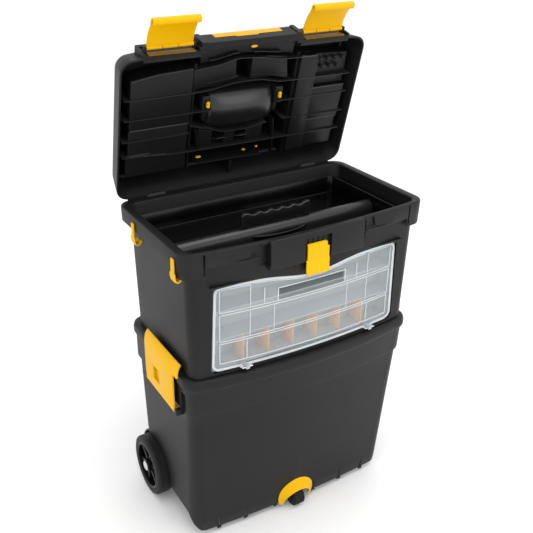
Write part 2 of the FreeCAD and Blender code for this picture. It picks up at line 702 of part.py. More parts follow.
case_outer = box("case_outer", ("-case_half", "case_half"), ("case_mouth", "case_back"),
                 ("case_low", "case_top"))
case_rooms = []
levels = (("case_low + case_skin", "shelf_low"), ("shelf_low + case_skin", "shelf_high"),
          ("shelf_high + case_skin", "case_top - case_skin"))
for index, (low, high) in enumerate(levels):
    case_rooms.append(box("case_room_%d" % index, ("-case_half + case_skin", "case_half - case_skin"),
                          ("case_mouth - 1", "case_back - case_skin"), (low, high)))
dip = box("case_dip_cut", ("-dip_half", "dip_half"), ("case_mouth - 1", "case_back + 1"),
          ("case_dip", "case_top + 1"))
dip_roof = box("case_dip_roof", ("-dip_half - case_skin", "dip_half + case_skin"),
               ("case_mouth", "case_back"), ("case_dip - case_skin", "case_top"))
case_solid = cut("case_dipped", fuse("case_with_roof", cut("case_hollow", case_outer, *case_rooms),
                                     dip_roof), dip)
lugs = []
lug_holes = []
for side in ("left", "right"):
    lugs.append(box("cover_lug_" + side, sided(side, "118", "124"), ("cover_pin_y - 2.6", "case_mouth + 1"),
                    ("case_low + 0.2", "cover_pin_z + 2.6")))
    lug_holes.append(rod("cover_lug_hole_" + side, "1.2", "x", sided(side, "100", "140"),
                         ("cover_pin_y", "cover_pin_z")))
node("organiser_case", cut("case_cut", fuse("case_with_lugs", case_solid, *lugs), *lug_holes))

cover_outer = plan_solid(
    "cover_outer",
    plan("case_low", "case_half", "cover_front + 2", "-90", "cover_bow", "8"),
    plan("case_top", "case_half", "cover_front", "-90", "cover_bow", "8"))
cover_inner = plan_solid(
    "cover_inner",
    plan("case_low - 1", "case_half - case_skin", "cover_front + 2 + case_skin", "-89", "cover_bow", "6"),
    plan("case_top + 1", "case_half - case_skin", "cover_front + case_skin", "-89", "cover_bow", "6"))
cover_keep = box("cover_keep", ("-200", "200"), ("case_mouth - 0.3", "-60"), ("350", "520"))
cover_dip = box("cover_dip", ("-dip_half", "dip_half"), ("-140", "-60"), ("case_dip", "520"))
hand_hole = box("hand_hole", ("-63", "63"), ("-140", "-60"), ("shelf_high + 3", "488"))
lug_notches = [box("lug_notch_" + side, sided(side, "117.6", "124.4"), ("-140", "-100"), ("350", "367"))
               for side in ("left", "right")]
cover_ears = []
for side in ("left", "right"):
    for spot, (start, end) in {"inner": (111, 117.6), "outer": (124.4, 131)}.items():
        cover_ears.append(box("cover_ear_%s_%s" % (side, spot), sided(side, start, end),
                              ("cover_pin_y - 2.4", "-119"),
                              ("cover_pin_z - 2.4", "cover_pin_z + 2.6")))
cover_shell = cut("cover_shell", cover_outer, cover_inner, cover_keep, cover_dip, hand_hole, *lug_notches)
cover_holes = [rod("cover_hole_" + side, "1.2 + running", "x", sided(side, "100", "140"),
                   ("cover_pin_y", "cover_pin_z"))
               for side in ("left", "right")]
node("organiser_cover", cut("cover_cut", fuse("cover_with_ears", cover_shell, *cover_ears), *cover_holes))
for side in ("left", "right"):
    node("cover_pin_" + side, rod("cover_pin_rod_" + side, "1.2", "x", sided(side, "111.4", "130.6"),
                                  ("cover_pin_y", "cover_pin_z")))
for number in range(6):
    offset = (number - 2.5)
    middle = "divider_pitch*%s" % offset
    node("divider_%d" % (number + 1),
         box("divider_plate_%d" % number, (middle + " - 0.8", middle + " + 0.8"),
             ("case_mouth + 1", "case_back - case_skin"),
             ("case_low + case_skin", "shelf_low - 0.4")))

# ---------------------------------------------------------------- tray

tray_outer = box("tray_outer", ("-tray_half", "tray_half"), ("tray_front", "tray_back"),
                 ("tray_low", "tray_top"))
tray_outer = soften("tray_soft", tray_outer, 10, along("z"))
wings = [box("tray_wing_" + side, sided(side, "tray_half - 4", "tray_half + 7"), ("-78", "78"),
             ("tray_top - 3", "tray_top"))
         for side in ("left", "right")]
troughs = []
for name, ys in (("front", ("tray_front + tray_skin", "ridge_front")),
                 ("back", ("ridge_back", "tray_back - tray_skin"))):
    hollow = box("trough_" + name, ("-tray_half + tray_skin", "tray_half - tray_skin"), ys,
                 ("tray_low + tray_skin", "tray_top + 1"))
    troughs.append(soften("trough_soft_" + name, hollow, 8, along("z")))
ridge_cut = box("ridge_cut", ("-tray_half + tray_skin", "tray_half - tray_skin"),
                ("ridge_front - 1", "ridge_back + 1"), ("ridge_top", "tray_top + 1"))
ridge_core = box("ridge_core", ("-tray_half + 6", "tray_half - 6"),
                 ("ridge_front + 2.4", "ridge_back - 2.4"), ("tray_low - 1", "ridge_top - 2.4"))
node("tray", cut("tray_cut", fuse("tray_solid", tray_outer, *wings), *troughs, ridge_cut, ridge_core))
grip_solid = box("tray_grip_solid", ("-grip_half", "grip_half"), ("ridge_front + 1", "ridge_back - 1"),
                 ("ridge_top", "grip_top"))
grip_solid = soften("tray_grip_soft", grip_solid, 3, along("y"))
grip_gap = box("tray_grip_gap", ("-grip_half + 12", "grip_half - 12"), ("ridge_front", "ridge_back"),
               ("ridge_top - 1", "grip_top - 10"))
node("tray_handle", cut("tray_grip_cut", grip_solid, soften("tray_grip_gap_soft", grip_gap, 4, along("y"))))

# ---------------------------------------------------------------- lid, drawn closed

lid_outer = plan_solid(
    "lid_outer",
    plan("lid_low", "rim_half", "rim_front", "rim_back", "rim_bow", "rim_corner"),
    plan("lid_top", "rim_half - lid_inset", "rim_front + lid_inset", "rim_back - lid_inset", "rim_bow",
         "rim_corner"))
lid_inner = plan_solid(
    "lid_inner",
    plan("lid_low - 1", "rim_half - skin", "rim_front + skin", "rim_back - skin", "rim_bow",
         "rim_corner - 2"),
    plan("lid_top - skin", "rim_half - lid_inset - skin", "rim_front + lid_inset + skin",
         "rim_back - lid_inset - skin",
         "rim_bow", "rim_corner - 2"))
tub = box("recess_tub", ("-60", "60"), ("-58", "-7"), ("608", "lid_top - 1"))
tub = soften("recess_tub_soft", tub, 8, along("z"))
recess = box("recess_space", ("-57", "57"), ("-55", "-10"), ("611", "lid_top + 1"))
recess = soften("recess_space_soft", recess, 6, along("z"))
lid_ribs = []
for number, distance in enumerate((218, 180, 105, 67, 37)):
    lid_ribs.append(box("lid_rib_%d" % number, ("-93", "104"), (124 - distance - 1, 124 - distance + 1),
                        ("614", "lid_top - 2")))
for side in ("left", "right"):
    lid_ribs.append(box("lid_upright_" + side, sided(side, "77", "79"), (20, 87), ("614", "lid_top - 2")))
latch_lugs = []
latch_holes = []
for side in ("left", "right"):
    for spot, (start, end) in {"inner": ("latch_x_in - 5", "latch_x_in - 0.4"),
                               "outer": ("latch_x_out + 0.4", "latch_x_out + 5")}.items():
        latch_lugs.append(box("latch_lug_%s_%s" % (side, spot), sided(side, start, end),
                              ("latch_y - 3.6", "-121.6"),
                              ("latch_z - 4.6", "latch_z + 4.6")))
    latch_holes.append(rod("latch_hole_" + side, "latch_pin", "x", sided(side, "latch_x_in - 4",
            "latch_x_out + 4"), ("latch_y", "latch_z")))
carry_lugs = []
carry_holes = []
for side in ("left", "right"):
    for spot, (start, end) in {"inner": ("carry_x - 7.4", "carry_x - 3.1"),
                               "outer": ("carry_x + 3.1", "carry_x + 7.4")}.items():
        carry_lugs.append(box("carry_lug_%s_%s" % (side, spot), sided(side, start, end),
                              ("carry_y - 4.4", "carry_y + 4.4"),
                              ("lid_top - 1", "carry_z + 3.8")))
    carry_holes.append(rod("carry_hole_" + side, "2", "x", sided(side, "carry_x - 6.4", "carry_x + 6.4"),
                           ("carry_y", "carry_z")))
lid_skin = cut("lid_skin", lid_outer, lid_inner)
lid_solid = cut("lid_relieved", fuse("lid_solid", lid_skin, tub, *lid_ribs, *latch_lugs, *carry_lugs),
                recess, *hinge_reliefs)
lid_knuckles = []
for side in ("left", "right"):
    span = sided(side, "hinge_x - 5.8", "hinge_x + 5.8")
    lid_knuckles.append(rod("lid_knuckle_" + side, "knuckle", "x", span, ("hinge_y", "hinge_z")))
    lid_knuckles.append(box("lid_knuckle_web_" + side, span, ("hinge_y - 4.6", "hinge_y"),
                            ("hinge_z + 2", "hinge_z + 16")))
lid_pin_bores = [rod("lid_pin_bore_" + side, "hinge_pin + running", "x",
                     sided(side, "hinge_x - 17", "hinge_x + 17"), ("hinge_y", "hinge_z"))
                 for side in ("left", "right")]
lid_shell = cut("lid_cut", fuse("lid_with_knuckles", lid_solid, *lid_knuckles), *lid_pin_bores,
                *latch_holes, *carry_holes)
node("lid_shell", lid_shell, LID_POSE)

for side, xs in (("left", ("-203", "-96")), ("right", ("108", "206"))):
    liner = box("liner_body_" + side, xs, (-92, 96), ("617", "lid_top - skin"))
    liner = soften("liner_soft_" + side, liner, 6, along("z"))
    panel = box("liner_panel_" + side, (xs[0] + " + 5", xs[1] + " - 5"), (6, 91), ("616", "619"))
    node("lid_liner_" + side, cut("liner_cut_" + side, liner, panel), LID_POSE)

trim_bar = box("trim_bar", ("-62", "62"), ("-140.5", "-120"), ("594", "607"))
trim_solid = soften("trim_soft", trim_bar, 3, along("y"))
node("lid_front_trim", cut("trim_cut", trim_solid, lid_outer), LID_POSE)

for side in ("left", "right"):
    plate = box("latch_plate_" + side, sided(side, "latch_x_in", "latch_x_out"),
                ("latch_y - 3.4", "latch_y - 0.2"), ("latch_tip", "latch_z"))
    lip = box("latch_lip_" + side, sided(side, "latch_x_in", "latch_x_out"), ("latch_y - 3.4", "-129.4"),
              ("latch_tip", "latch_tip + 5"))
    roll = rod("latch_roll_" + side, "3.4", "x", sided(side, "latch_x_in", "latch_x_out"),
               ("latch_y", "latch_z"))
    solid = soften("latch_soft_" + side, fuse("latch_solid_" + side, plate, lip, roll), 1, along("x"))
    bore = rod("latch_bore_x_" + side, "latch_pin + running", "x", sided(side, "latch_x_in - 1",
            "latch_x_out + 1"), ("latch_y", "latch_z"))
    node("lid_latch_" + side, cut("latch_cut_" + side, solid, bore), LATCH_POSE)
    pin = rod("latch_pin_rod_" + side, "latch_pin", "x", sided(side, "latch_x_in - 4", "latch_x_out + 4"),
              ("latch_y", "latch_z"))
    node("lid_latch_pin_" + side, soften("latch_pin_soft_" + side, pin, 0.3, full_circle), LID_POSE)
    pin = rod("carry_pin_rod_" + side, "2", "x", sided(side, "carry_x - 6.4", "carry_x + 6.4"),
              ("carry_y", "carry_z"))
    node("carry_pin_" + side, soften("carry_pin_soft_" + side, pin, 0.3, full_circle), LID_POSE)

carry_bar = box("carry_bar", ("-carry_x - 2.7", "carry_x + 2.7"), ("carry_grip_y - 6", "carry_grip_y + 6"),
                ("carry_z - 3.5", "carry_z + 3.5"))
carry_parts = [carry_bar]
carry_bores = []
for side in ("left", "right"):
    xs = sided(side, "carry_x - 2.7", "carry_x + 2.7")
    carry_parts.append(box("carry_arm_" + side, xs, ("carry_grip_y", "carry_y"),
                           ("carry_z - 3.5", "carry_z + 3.5")))
    carry_parts.append(rod("carry_eye_" + side, "3.5", "x", xs, ("carry_y", "carry_z")))
    carry_bores.append(rod("carry_bore_" + side, "2 + running", "x",
                           sided(side, "carry_x - 4", "carry_x + 4"), ("carry_y", "carry_z")))
node("carry_handle", cut("carry_cut", fuse("carry_solid", *carry_parts), *carry_bores), LID_POSE)

# ---------------------------------------------------------------- check and write

doc.recompute()
problems = []
for item in doc.Objects:
    if {"Invalid", "Error"} & set(item.State):
        problems.append("%s is %s" % (item.Name, item.State))
for item in NODES:
    if item.Shape.isNull() or not item.Shape.isValid():
        problems.append("%s has a bad shape" % item.Label)
    elif len(item.Shape.Solids) != 1:
        problems.append("%s has %d solids" % (item.Label, len(item.Shape.Solids)))
if problems:
    raise RuntimeError("; ".join(problems))
for item in NODES:
    item.Shape.exportStep("parts/%s.step" % item.Label)
    bounds = item.Shape.BoundBox
    print(item.Label, round(item.Shape.Volume), [round(number, 1) for number in (
        bounds.XMin, bounds.XMax, bounds.YMin, bounds.YMax, bounds.ZMin, bounds.ZMax)])
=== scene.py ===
import json
import math

import bmesh
import bpy
from mathutils import Matrix, Vector


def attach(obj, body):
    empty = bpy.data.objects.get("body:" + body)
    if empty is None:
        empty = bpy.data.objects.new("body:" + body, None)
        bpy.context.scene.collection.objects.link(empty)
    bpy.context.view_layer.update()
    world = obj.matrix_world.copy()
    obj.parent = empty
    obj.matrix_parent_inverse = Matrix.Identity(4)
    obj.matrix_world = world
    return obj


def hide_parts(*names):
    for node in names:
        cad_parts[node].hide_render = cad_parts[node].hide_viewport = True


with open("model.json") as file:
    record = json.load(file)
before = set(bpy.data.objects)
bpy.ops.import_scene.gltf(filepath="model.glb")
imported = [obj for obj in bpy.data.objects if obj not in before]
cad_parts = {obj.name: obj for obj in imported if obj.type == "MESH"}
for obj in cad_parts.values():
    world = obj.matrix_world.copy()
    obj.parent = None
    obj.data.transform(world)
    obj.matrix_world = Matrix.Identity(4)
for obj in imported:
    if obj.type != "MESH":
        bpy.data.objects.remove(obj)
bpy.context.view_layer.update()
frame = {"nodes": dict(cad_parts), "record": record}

NODES = frame["nodes"]
MM = 0.001

# Places and sizes in millimetres: x to the right, y to the back, z up.
SIGNS = (-1, 1)
SIDES = (("left", -1), ("right", 1))
REAR_AXLE = (68.6, 57.5)
FRONT_AXLE = (-99, 20.5)
HINGE = (124, 576)
LATCH_AXIS = (-135, 592)
CARRY_AXIS = (-32, 630.5)
LID_OPEN = 75
LATCH_OPEN = 72
PANEL_PLANE = HINGE[1] + 5.4
COVER_FACE = (361, 511, 176.4, 172.5, 11)
FACE_Y, FACE_LEAN, FACE_BOW, FACE_HALF = -117, 2, 11, 170
DIP_DEPTH, DIP_HALF = 11.5, 104

# ------------------------------------------------------------------ shape helpers


def make_mesh(name, points, faces, smooth=30):
    """A mesh object from points in millimetres; edges under the angle are shaded smooth."""
    mesh = bpy.data.meshes.new(name)
    mesh.from_pydata([Vector(p) * MM for p in points], [], faces)
    mesh.update()
    obj = bpy.data.objects.new(name, mesh)
    bpy.context.scene.collection.objects.link(obj)
    tidy_normals(obj)
    shade(obj, smooth)
    return obj


def tidy_normals(obj):
    bm = bmesh.new()
    bm.from_mesh(obj.data)
    bmesh.ops.remove_doubles(bm, verts=bm.verts, dist=1e-6)
    bmesh.ops.recalc_face_normals(bm, faces=bm.faces)
    bm.to_mesh(obj.data)
    bm.free()


def shade(obj, angle):
    obj.data.polygons.foreach_set("use_smooth", [True] * len(obj.data.polygons))
    obj.data.set_sharp_from_angle(angle=math.radians(angle))


def bevel(obj, width, segments=2, angle=35):
    """Rounds edges sharper than the angle, width in millimetres."""
    mod = obj.modifiers.new("bevel", "BEVEL")
    mod.width = width * MM
    mod.segments = segments
    mod.limit_method = "ANGLE"
    mod.angle_limit = math.radians(angle)
    return obj


def settle(obj, smooth=30):
    """Makes the modifiers' result the object's own mesh."""
    graph = bpy.context.evaluated_depsgraph_get()
    graph.update()
    mesh = bpy.data.meshes.new_from_object(obj.evaluated_get(graph), depsgraph=graph)
    mesh.name = obj.name
    obj.modifiers.clear()
    obj.data = mesh
    shade(obj, smooth)
    return obj


def combine(obj, others, operation="DIFFERENCE", smooth=30):
    """Cuts the others out, joins them to it or keeps what is shared; the others are removed."""
    for other in others:
        if other.modifiers:
            settle(other)
        mod = obj.modifiers.new("combine", "BOOLEAN")
        mod.operation = operation
        mod.solver = "EXACT"
        mod.object = other
        settle(obj, smooth)
        bpy.data.objects.remove(other)
    return obj


def join(name, pieces, smooth=30):
    """One object from several."""
    bm = bmesh.new()
    for piece in pieces:
        if piece.modifiers:
            settle(piece, smooth)
        piece.data.transform(piece.matrix_world)
        bm.from_mesh(piece.data)
    mesh = bpy.data.meshes.new(name)
    bm.to_mesh(mesh)
    bm.free()
    for piece in pieces:
        bpy.data.objects.remove(piece)
    obj = bpy.data.objects.new(name, mesh)
    bpy.context.scene.collection.objects.link(obj)
    shade(obj, smooth)
    return obj


def block(name, xs, ys, zs):
    points = [(x, y, z) for x in xs for y in ys for z in zs]
    faces = [(0, 1, 3, 2), (4, 6, 7, 5), (0, 4, 5, 1), (2, 3, 7, 6), (0, 2, 6, 4), (1, 5, 7, 3)]
    return make_mesh(name, points, faces)


def soft_block(name, xs, ys, zs, width=1.0, segments=3):
    return bevel(block(name, xs, ys, zs), width, segments)


def sided(sign, near, far):
    """Two distances from the middle, as a low and a high x on one side."""
    return sorted((sign * near, sign * far))


AXES = {"x": (1, 2, 0), "y": (0, 2, 1), "z": (0, 1, 2)}


def prism(name, outline, axis, low, high, smooth=30):
    """An outline in the two other axes, drawn out along one."""
    first, second, third = AXES[axis]
    points = []
    for level in (low, high):
        for a, b in outline:
            point = [0, 0, 0]
            point[first], point[second], point[third] = a, b, level
            points.append(point)
    count = len(outline)
    faces = [tuple(range(count)), tuple(range(count, 2 * count))]
    faces += [(i, (i + 1) % count, count + (i + 1) % count, count + i) for i in range(count)]
    return make_mesh(name, points, faces, smooth)


def lathe(name, profile, axis, centre, steps=64, smooth=30):
    """A closed profile of (along, radius) turned about an axis through a centre."""
    first, second, third = AXES[axis]
    points = []
    for step in range(steps):
        angle = 2 * math.pi * step / steps
        for along, radius in profile:
            point = [0, 0, 0]
            point[third] = along
            point[first] = centre[0] + radius * math.cos(angle)
            point[second] = centre[1] + radius * math.sin(angle)
            points.append(point)
    count = len(profile)
    faces = []
    for step in range(steps):
        base, after = step * count, (step + 1) % steps * count
        for i in range(count):
            j = (i + 1) % count
            faces.append((base + i, base + j, after + j, after + i))
    return make_mesh(name, points, faces, smooth)


def tube(name, ends, inner, outer, axis, centre, steps=64, smooth=30):
    """A round bar with a bore, between two places along an axis."""
    low, high = ends
    profile = [(low, inner), (low, outer), (high, outer), (high, inner)]
    return lathe(name, profile, axis, centre, steps, smooth)


def outline(half, front, back, bow, corner, sides=6, bows=28, turns=8):
    """A plan with rounded corners and a bowed front, counter-clockwise from the right side."""
    flat = half - corner
    points = []
    for step in range(sides):
        points.append((half, front + corner + (back - front - 2 * corner) * step / sides))
    for centre, start in (((flat, back - corner), 0), ((-flat, back - corner), 90)):
        for step in range(turns + 1):
            angle = math.radians(start + 90 * step / turns)
            points.append((centre[0] + corner * math.cos(angle), centre[1] + corner * math.sin(angle)))
        if start == 0:
            for step in range(1, bows):
                points.append((flat - 2 * flat * step / bows, back))
    for step in range(1, sides):
        points.append((-half, back - corner - (back - front - 2 * corner) * step / sides))
    for step in range(turns + 1):
        angle = math.radians(180 + 90 * step / turns)
        points.append((-flat + corner * math.cos(angle), front + corner + corner * math.sin(angle)))
    for step in range(1, bows):
        x = -flat + 2 * flat * step / bows
        points.append((x, front - bow * (1 - (x / flat) ** 2)))
    for step in range(turns + 1):
        angle = math.radians(270 + 90 * step / turns)
        points.append((flat + corner * math.cos(angle), front + corner + corner * math.sin(angle)))
    return points


def stack(name, levels, smooth=30, closed=False):
    """A skin through outlines at rising or falling heights, capped at both ends."""
    points = []
    count = 0
    for z, *plan in levels:
        ring = outline(*plan)
        count = len(ring)
        points += [(x, y, z) for x, y in ring]
    faces = []
    total = len(levels)
    for level in range(total if closed else total - 1):
        base, after = level * count, (level + 1) % total * count
        for i in range(count):
            j = (i + 1) % count
            faces.append((base + i, base + j, after + j, after + i))
    if not closed:
        faces.append(tuple(range(count)))
        faces.append(tuple(range((total - 1) * count, total * count)))
    return make_mesh(name, points, faces, smooth)


def strip(name, path, width_axis, low, high, thickness, smooth=40):
    """A curved plate: a path in two axes given a thickness and drawn out along a third."""
    left, right = [], []
    for index, (a, b) in enumerate(path):
        before = path[max(index - 1, 0)]
        after = path[min(index + 1, len(path) - 1)]
        da, db = after[0] - before[0], after[1] - before[1]
        size = math.hypot(da, db) or 1
        na, nb = -db / size * thickness / 2, da / size * thickness / 2
        left.append((a + na, b + nb))
        right.append((a - na, b - nb))
    return prism(name, left + right[::-1], width_axis, low, high, smooth)


def arc_points(centre, radius, start, end, steps):
    return [(centre[0] + radius * math.cos(math.radians(start + (end - start) * step / steps)),
             centre[1] + radius * math.sin(math.radians(start + (end - start) * step / steps)))
            for step in range(steps + 1)]


def move(obj, matrix):
    obj.data.transform(matrix)
    return obj


def turned(angle, y, z):
    """A turn in degrees about an axis along X through (y, z) in millimetres."""
    spot = Matrix.Translation(Vector((0, y, z)) * MM)
    return spot @ Matrix.Rotation(math.radians(angle), 4, "X") @ spot.inverted()


TO_LID = turned(-LID_OPEN, *HINGE)
TO_LATCH = TO_LID @ turned(-LATCH_OPEN, *LATCH_AXIS)

# ------------------------------------------------------------------ materials


def new_material(name):
    material = bpy.data.materials.new(name)
    material.use_nodes = True
    nodes = material.node_tree.nodes
    return material, nodes, material.node_tree.links, nodes["Principled BSDF"]


def noise(nodes, links, place, scale, detail=2):
    """A noise texture over a place; gives the node back so that more can be set."""
    node = nodes.new("ShaderNodeTexNoise")
    node.inputs["Scale"].default_value = scale
    node.inputs["Detail"].default_value = detail
    links.new(place, node.inputs["Vector"])
    return node


def blend(nodes, links, factor, low, high):
    """A colour between two, by a factor."""
    tone = nodes.new("ShaderNodeMix")
    tone.data_type = "RGBA"
    tone.inputs["A"].default_value = (*low, 1)
    tone.inputs["B"].default_value = (*high, 1)
    links.new(factor, tone.inputs["Factor"])
    return tone.outputs["Result"]


def spread(nodes, links, value, low, high, socket):
    """Drives a socket between two values."""
    span = nodes.new("ShaderNodeMapRange")
    span.inputs["To Min"].default_value = low
    span.inputs["To Max"].default_value = high
    links.new(value, span.inputs["Value"])
    links.new(span.outputs["Result"], socket)


def emboss(nodes, links, height, strength, distance, shader):
    """Fine surface relief."""
    bump = nodes.new("ShaderNodeBump")
    bump.inputs["Strength"].default_value = strength
    bump.inputs["Distance"].default_value = distance
    links.new(height, bump.inputs["Height"])
    links.new(bump.outputs["Normal"], shader.inputs["Normal"])


def plastic(name, dark, light, roughness, grain=900, depth=0.12, patch=7, shine=0.3, edge_highlight=None):
    """Moulded plastic: fine grain, cloudy colour and gloss, and paler sharp edges as a painted edge
    highlight.
    """
    material, nodes, links, shader = new_material(name)
    where = nodes.new("ShaderNodeTexCoord").outputs["Object"]
    cloud = noise(nodes, links, where, patch, 5)
    cloud.inputs["Roughness"].default_value = 0.6
    colour = blend(nodes, links, cloud.outputs["Fac"], dark, light)
    # Paler colour on sharp edges, found by pointiness: painted edge highlight.
    if edge_highlight:
        shape = nodes.new("ShaderNodeNewGeometry")
        edge = nodes.new("ShaderNodeMapRange")
        edge.inputs["From Min"].default_value = 0.52
        edge.inputs["From Max"].default_value = 0.62
        edge.inputs["To Max"].default_value = 0.6
        links.new(shape.outputs["Pointiness"], edge.inputs["Value"])
        highlit_edges = nodes.new("ShaderNodeMix")
        highlit_edges.data_type = "RGBA"
        highlit_edges.inputs["B"].default_value = (*edge_highlight, 1)
        links.new(edge.outputs["Result"], highlit_edges.inputs["Factor"])
        links.new(colour, highlit_edges.inputs["A"])
        colour = highlit_edges.outputs["Result"]
    links.new(colour, shader.inputs["Base Color"])
    gloss = (roughness - 0.07, roughness + 0.07)
    spread(nodes, links, cloud.outputs["Fac"], *gloss, shader.inputs["Roughness"])
    fine = noise(nodes, links, where, grain, 3)
    emboss(nodes, links, fine.outputs["Fac"], depth, 0.0004, shader)
    shader.inputs["Specular IOR Level"].default_value = shine
    return material


def cloudy_clear(name, colour, alpha, roughness):
    """Translucent polypropylene: milky, with faint flow marks."""
    material, nodes, links, shader = new_material(name)
    where = nodes.new("ShaderNodeTexCoord").outputs["Object"]
    flow = noise(nodes, links, where, 11, 4)
    flow.inputs["Distortion"].default_value = 0.8
    tone = blend(nodes, links, flow.outputs["Fac"], [c * 0.93 for c in colour], colour)
    links.new(tone, shader.inputs["Base Color"])
    milk = (alpha - 0.05, alpha + 0.05)
    spread(nodes, links, flow.outputs["Fac"], *milk, shader.inputs["Alpha"])
    grain = noise(nodes, links, where, 500)
    emboss(nodes, links, grain.outputs["Fac"], 0.06, 0.0003, shader)
    shader.inputs["Roughness"].default_value = roughness
    return material


def metal(name, colour, roughness, stretch=(1, 1, 60)):
    """Plated or drawn metal with fine directional scratches."""
    material, nodes, links, shader = new_material(name)
    where = nodes.new("ShaderNodeTexCoord")
    squeeze = nodes.new("ShaderNodeMapping")
    squeeze.inputs["Scale"].default_value = stretch
    links.new(where.outputs["Object"], squeeze.inputs["Vector"])
    scratch = noise(nodes, links, squeeze.outputs["Vector"], 60, 6).outputs["Fac"]
    gloss = (roughness - 0.08, roughness + 0.12)
    spread(nodes, links, scratch, *gloss, shader.inputs["Roughness"])
    tone = blend(nodes, links, scratch, [c * 0.8 for c in colour], colour)
    links.new(tone, shader.inputs["Base Color"])
    emboss(nodes, links, scratch, 0.05, 0.0002, shader)
    shader.inputs["Metallic"].default_value = 1.0
    return material


# The last colour given to each black plastic is painted on its sharp edges as a highlight.
BLACK = plastic("black_plastic", (0.0062, 0.0058, 0.0061), (0.0085, 0.0079, 0.0083), 0.5, shine=0.24,
                edge_highlight=(0.02, 0.02, 0.02))
# Darker black tones: painted shade for the lid's inside, the tray inside the box and the front rail in
# its recess.
SHADED_BLACK = ((0.0012, 0.0012, 0.0013), (0.0022, 0.0022, 0.0023))
INNER = plastic("black_inner", *SHADED_BLACK, 0.42, 700, shine=0.1, edge_highlight=(0.012, 0.012, 0.012))
PANEL = plastic("black_panel", (0.003, 0.0029, 0.0031), (0.0045, 0.0043, 0.0046), 0.36, 700, shine=0.2,
                edge_highlight=(0.03, 0.03, 0.03))
# Tray and front rail black: its darker tones are painted shade.
GLOSSY = plastic("black_glossy", *SHADED_BLACK, 0.2, 600, shine=0.22, edge_highlight=(0.012, 0.012, 0.012))
YELLOW = plastic("yellow_plastic", (0.76, 0.41, 0.0005), (0.83, 0.46, 0.001), 0.42, depth=0.07,
                 shine=0.12)
AMBER = plastic("amber_plastic", (0.95, 0.42, 0.03), (1.0, 0.50, 0.05), 0.4, depth=0.07, shine=0.2)
# Darker orange-yellow: painted shade for yellow parts in recesses and shadow.
SHADED_AMBER = plastic("shaded_amber_plastic", (0.72, 0.33, 0.004), (0.80, 0.38, 0.006), 0.4, depth=0.07, shine=0.2)
SATIN = plastic("black_satin", (0.006, 0.006, 0.0063), (0.009, 0.009, 0.0094), 0.3, 600, shine=0.55,
                edge_highlight=(0.03, 0.03, 0.03))
# Lighter black for thin strips along edges and rib crests: painted highlight.
HIGHLIGHT_BLACK = plastic("black_painted_highlight", (0.024, 0.024, 0.025), (0.034, 0.034, 0.035), 0.35, 600, shine=0.5)
# Dark yellow: painted shade for a yellow surface in shadow.
SHADED_YELLOW = plastic("shaded_yellow_plastic", (0.16, 0.085, 0.001), (0.20, 0.105, 0.002), 0.4, depth=0.07,
                  shine=0.3)
CLEAR = cloudy_clear("clear_cover", (0.66, 0.71, 0.74), 0.2, 0.15)
FROST = cloudy_clear("clear_ridge", (0.78, 0.82, 0.84), 0.66, 0.25)
CASE = plastic("grey_case", (0.40, 0.43, 0.445), (0.46, 0.495, 0.51), 0.4, depth=0.07)
STEEL = metal("steel", (0.72, 0.72, 0.73), 0.28)
TUBE = metal("aluminium_tube", (0.78, 0.78, 0.79), 0.3)
RUBBER = plastic("tyre_rubber", (0.006, 0.006, 0.006), (0.010, 0.010, 0.010), 0.6, grain=1200,
                 depth=0.25)


def paint(obj, material):
    obj.data.materials.clear()
    obj.data.materials.append(material)
    return obj


def piece(obj, body, material, slot, *replaced):
    """Paints a finished piece, puts it under its body and hides the CAD nodes it stands for; the record
    slot is not used.
    """
    paint(obj, material)
    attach(obj, body)
    if replaced:
        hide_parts(*replaced)
    return obj


CAD_MATERIALS = {
    "black_plastic": BLACK,
    "yellow_plastic": YELLOW,
    "clear_plastic": CASE,
    "steel": STEEL,
    "aluminium_tube": TUBE,
    "tyre": RUBBER,
}
for part in frame["record"]["subparts"]:
    paint(NODES[part["node"]], CAD_MATERIALS[part["material_slot"]])

# ------------------------------------------------------------------ bin

bin_levels = [
    (12, 203.3, -90.8, 113.9, 7, 25),
    (12.01, 204.6, -92, 115.2, 7, 26),
    (13.2, 205.3, -92.7, 115.9, 7, 26),
    (36, 205.9, -94.6, 116.2, 7.9, 26),
    (60, 206.5, -96.5, 116.5, 8.8, 26),
    (150, 208.8, -103.5, 117.5, 11.9, 26),
    (250, 211.3, -111.4, 118.6, 15.4, 26),
    (282, 212.1, -114.2, 119, 16.5, 26),
    (284, 213.2, -114.5, 119.4, 16.6, 26),
    (285.5, 216.4, -114.8, 120.6, 16.8, 26),
    (287, 217, -115.1, 121, 16.9, 26),
    (331, 217, -118.8, 121, 18.3, 26),
    (333, 217.6, -119.4, 121.3, 18.3, 26),
    (335, 219.8, -121.3, 122.6, 18.6, 27),
    (338.5, 221, -122.4, 123.6, 18.6, 28),
    (346, 221, -122.4, 123.6, 18.6, 28),
    (351, 219.6, -121.2, 122.4, 18.4, 27),
    (353.6, 216.6, -118.6, 119.4, 17, 26),
    (354, 213.5, -116.6, 115.4, 15, 25),
    (353.8, 207, -113.4, 107, 12.4, 20),
    (352.4, 205.7, -112.5, 105.7, 12, 20),
    (336, 205.7, -112.5, 105.7, 12, 20),
    (333.2, 210.4, -113.2, 116.8, 16.4, 20),
    (90, 204.2, -94.6, 113.6, 7.6, 24),
    (76, 202.4, -92, 111.6, 7, 22),
]
visual_bin = stack("bin_skin", bin_levels, 32)
under = stack("under", [
    (0, 202.2, -89.8, 112.8, 7, 24),
    (72, 203.6, -94, 113.6, 9, 24),
])
side_outline = [(-93.5, -20), (-93.5, 8), (-86, 19), (-74, 40), (-69, 45), (-64, 46),
                (140, 46), (140, -20)]
side_gap = prism("side_gap", side_outline, "x", -240, 240)
arch_path = arc_points((0, 17), 31, 0, 180, 24)
mouth = prism("mouth", [(31, -10)] + arch_path + [(-31, -10)], "y", -130, -70)
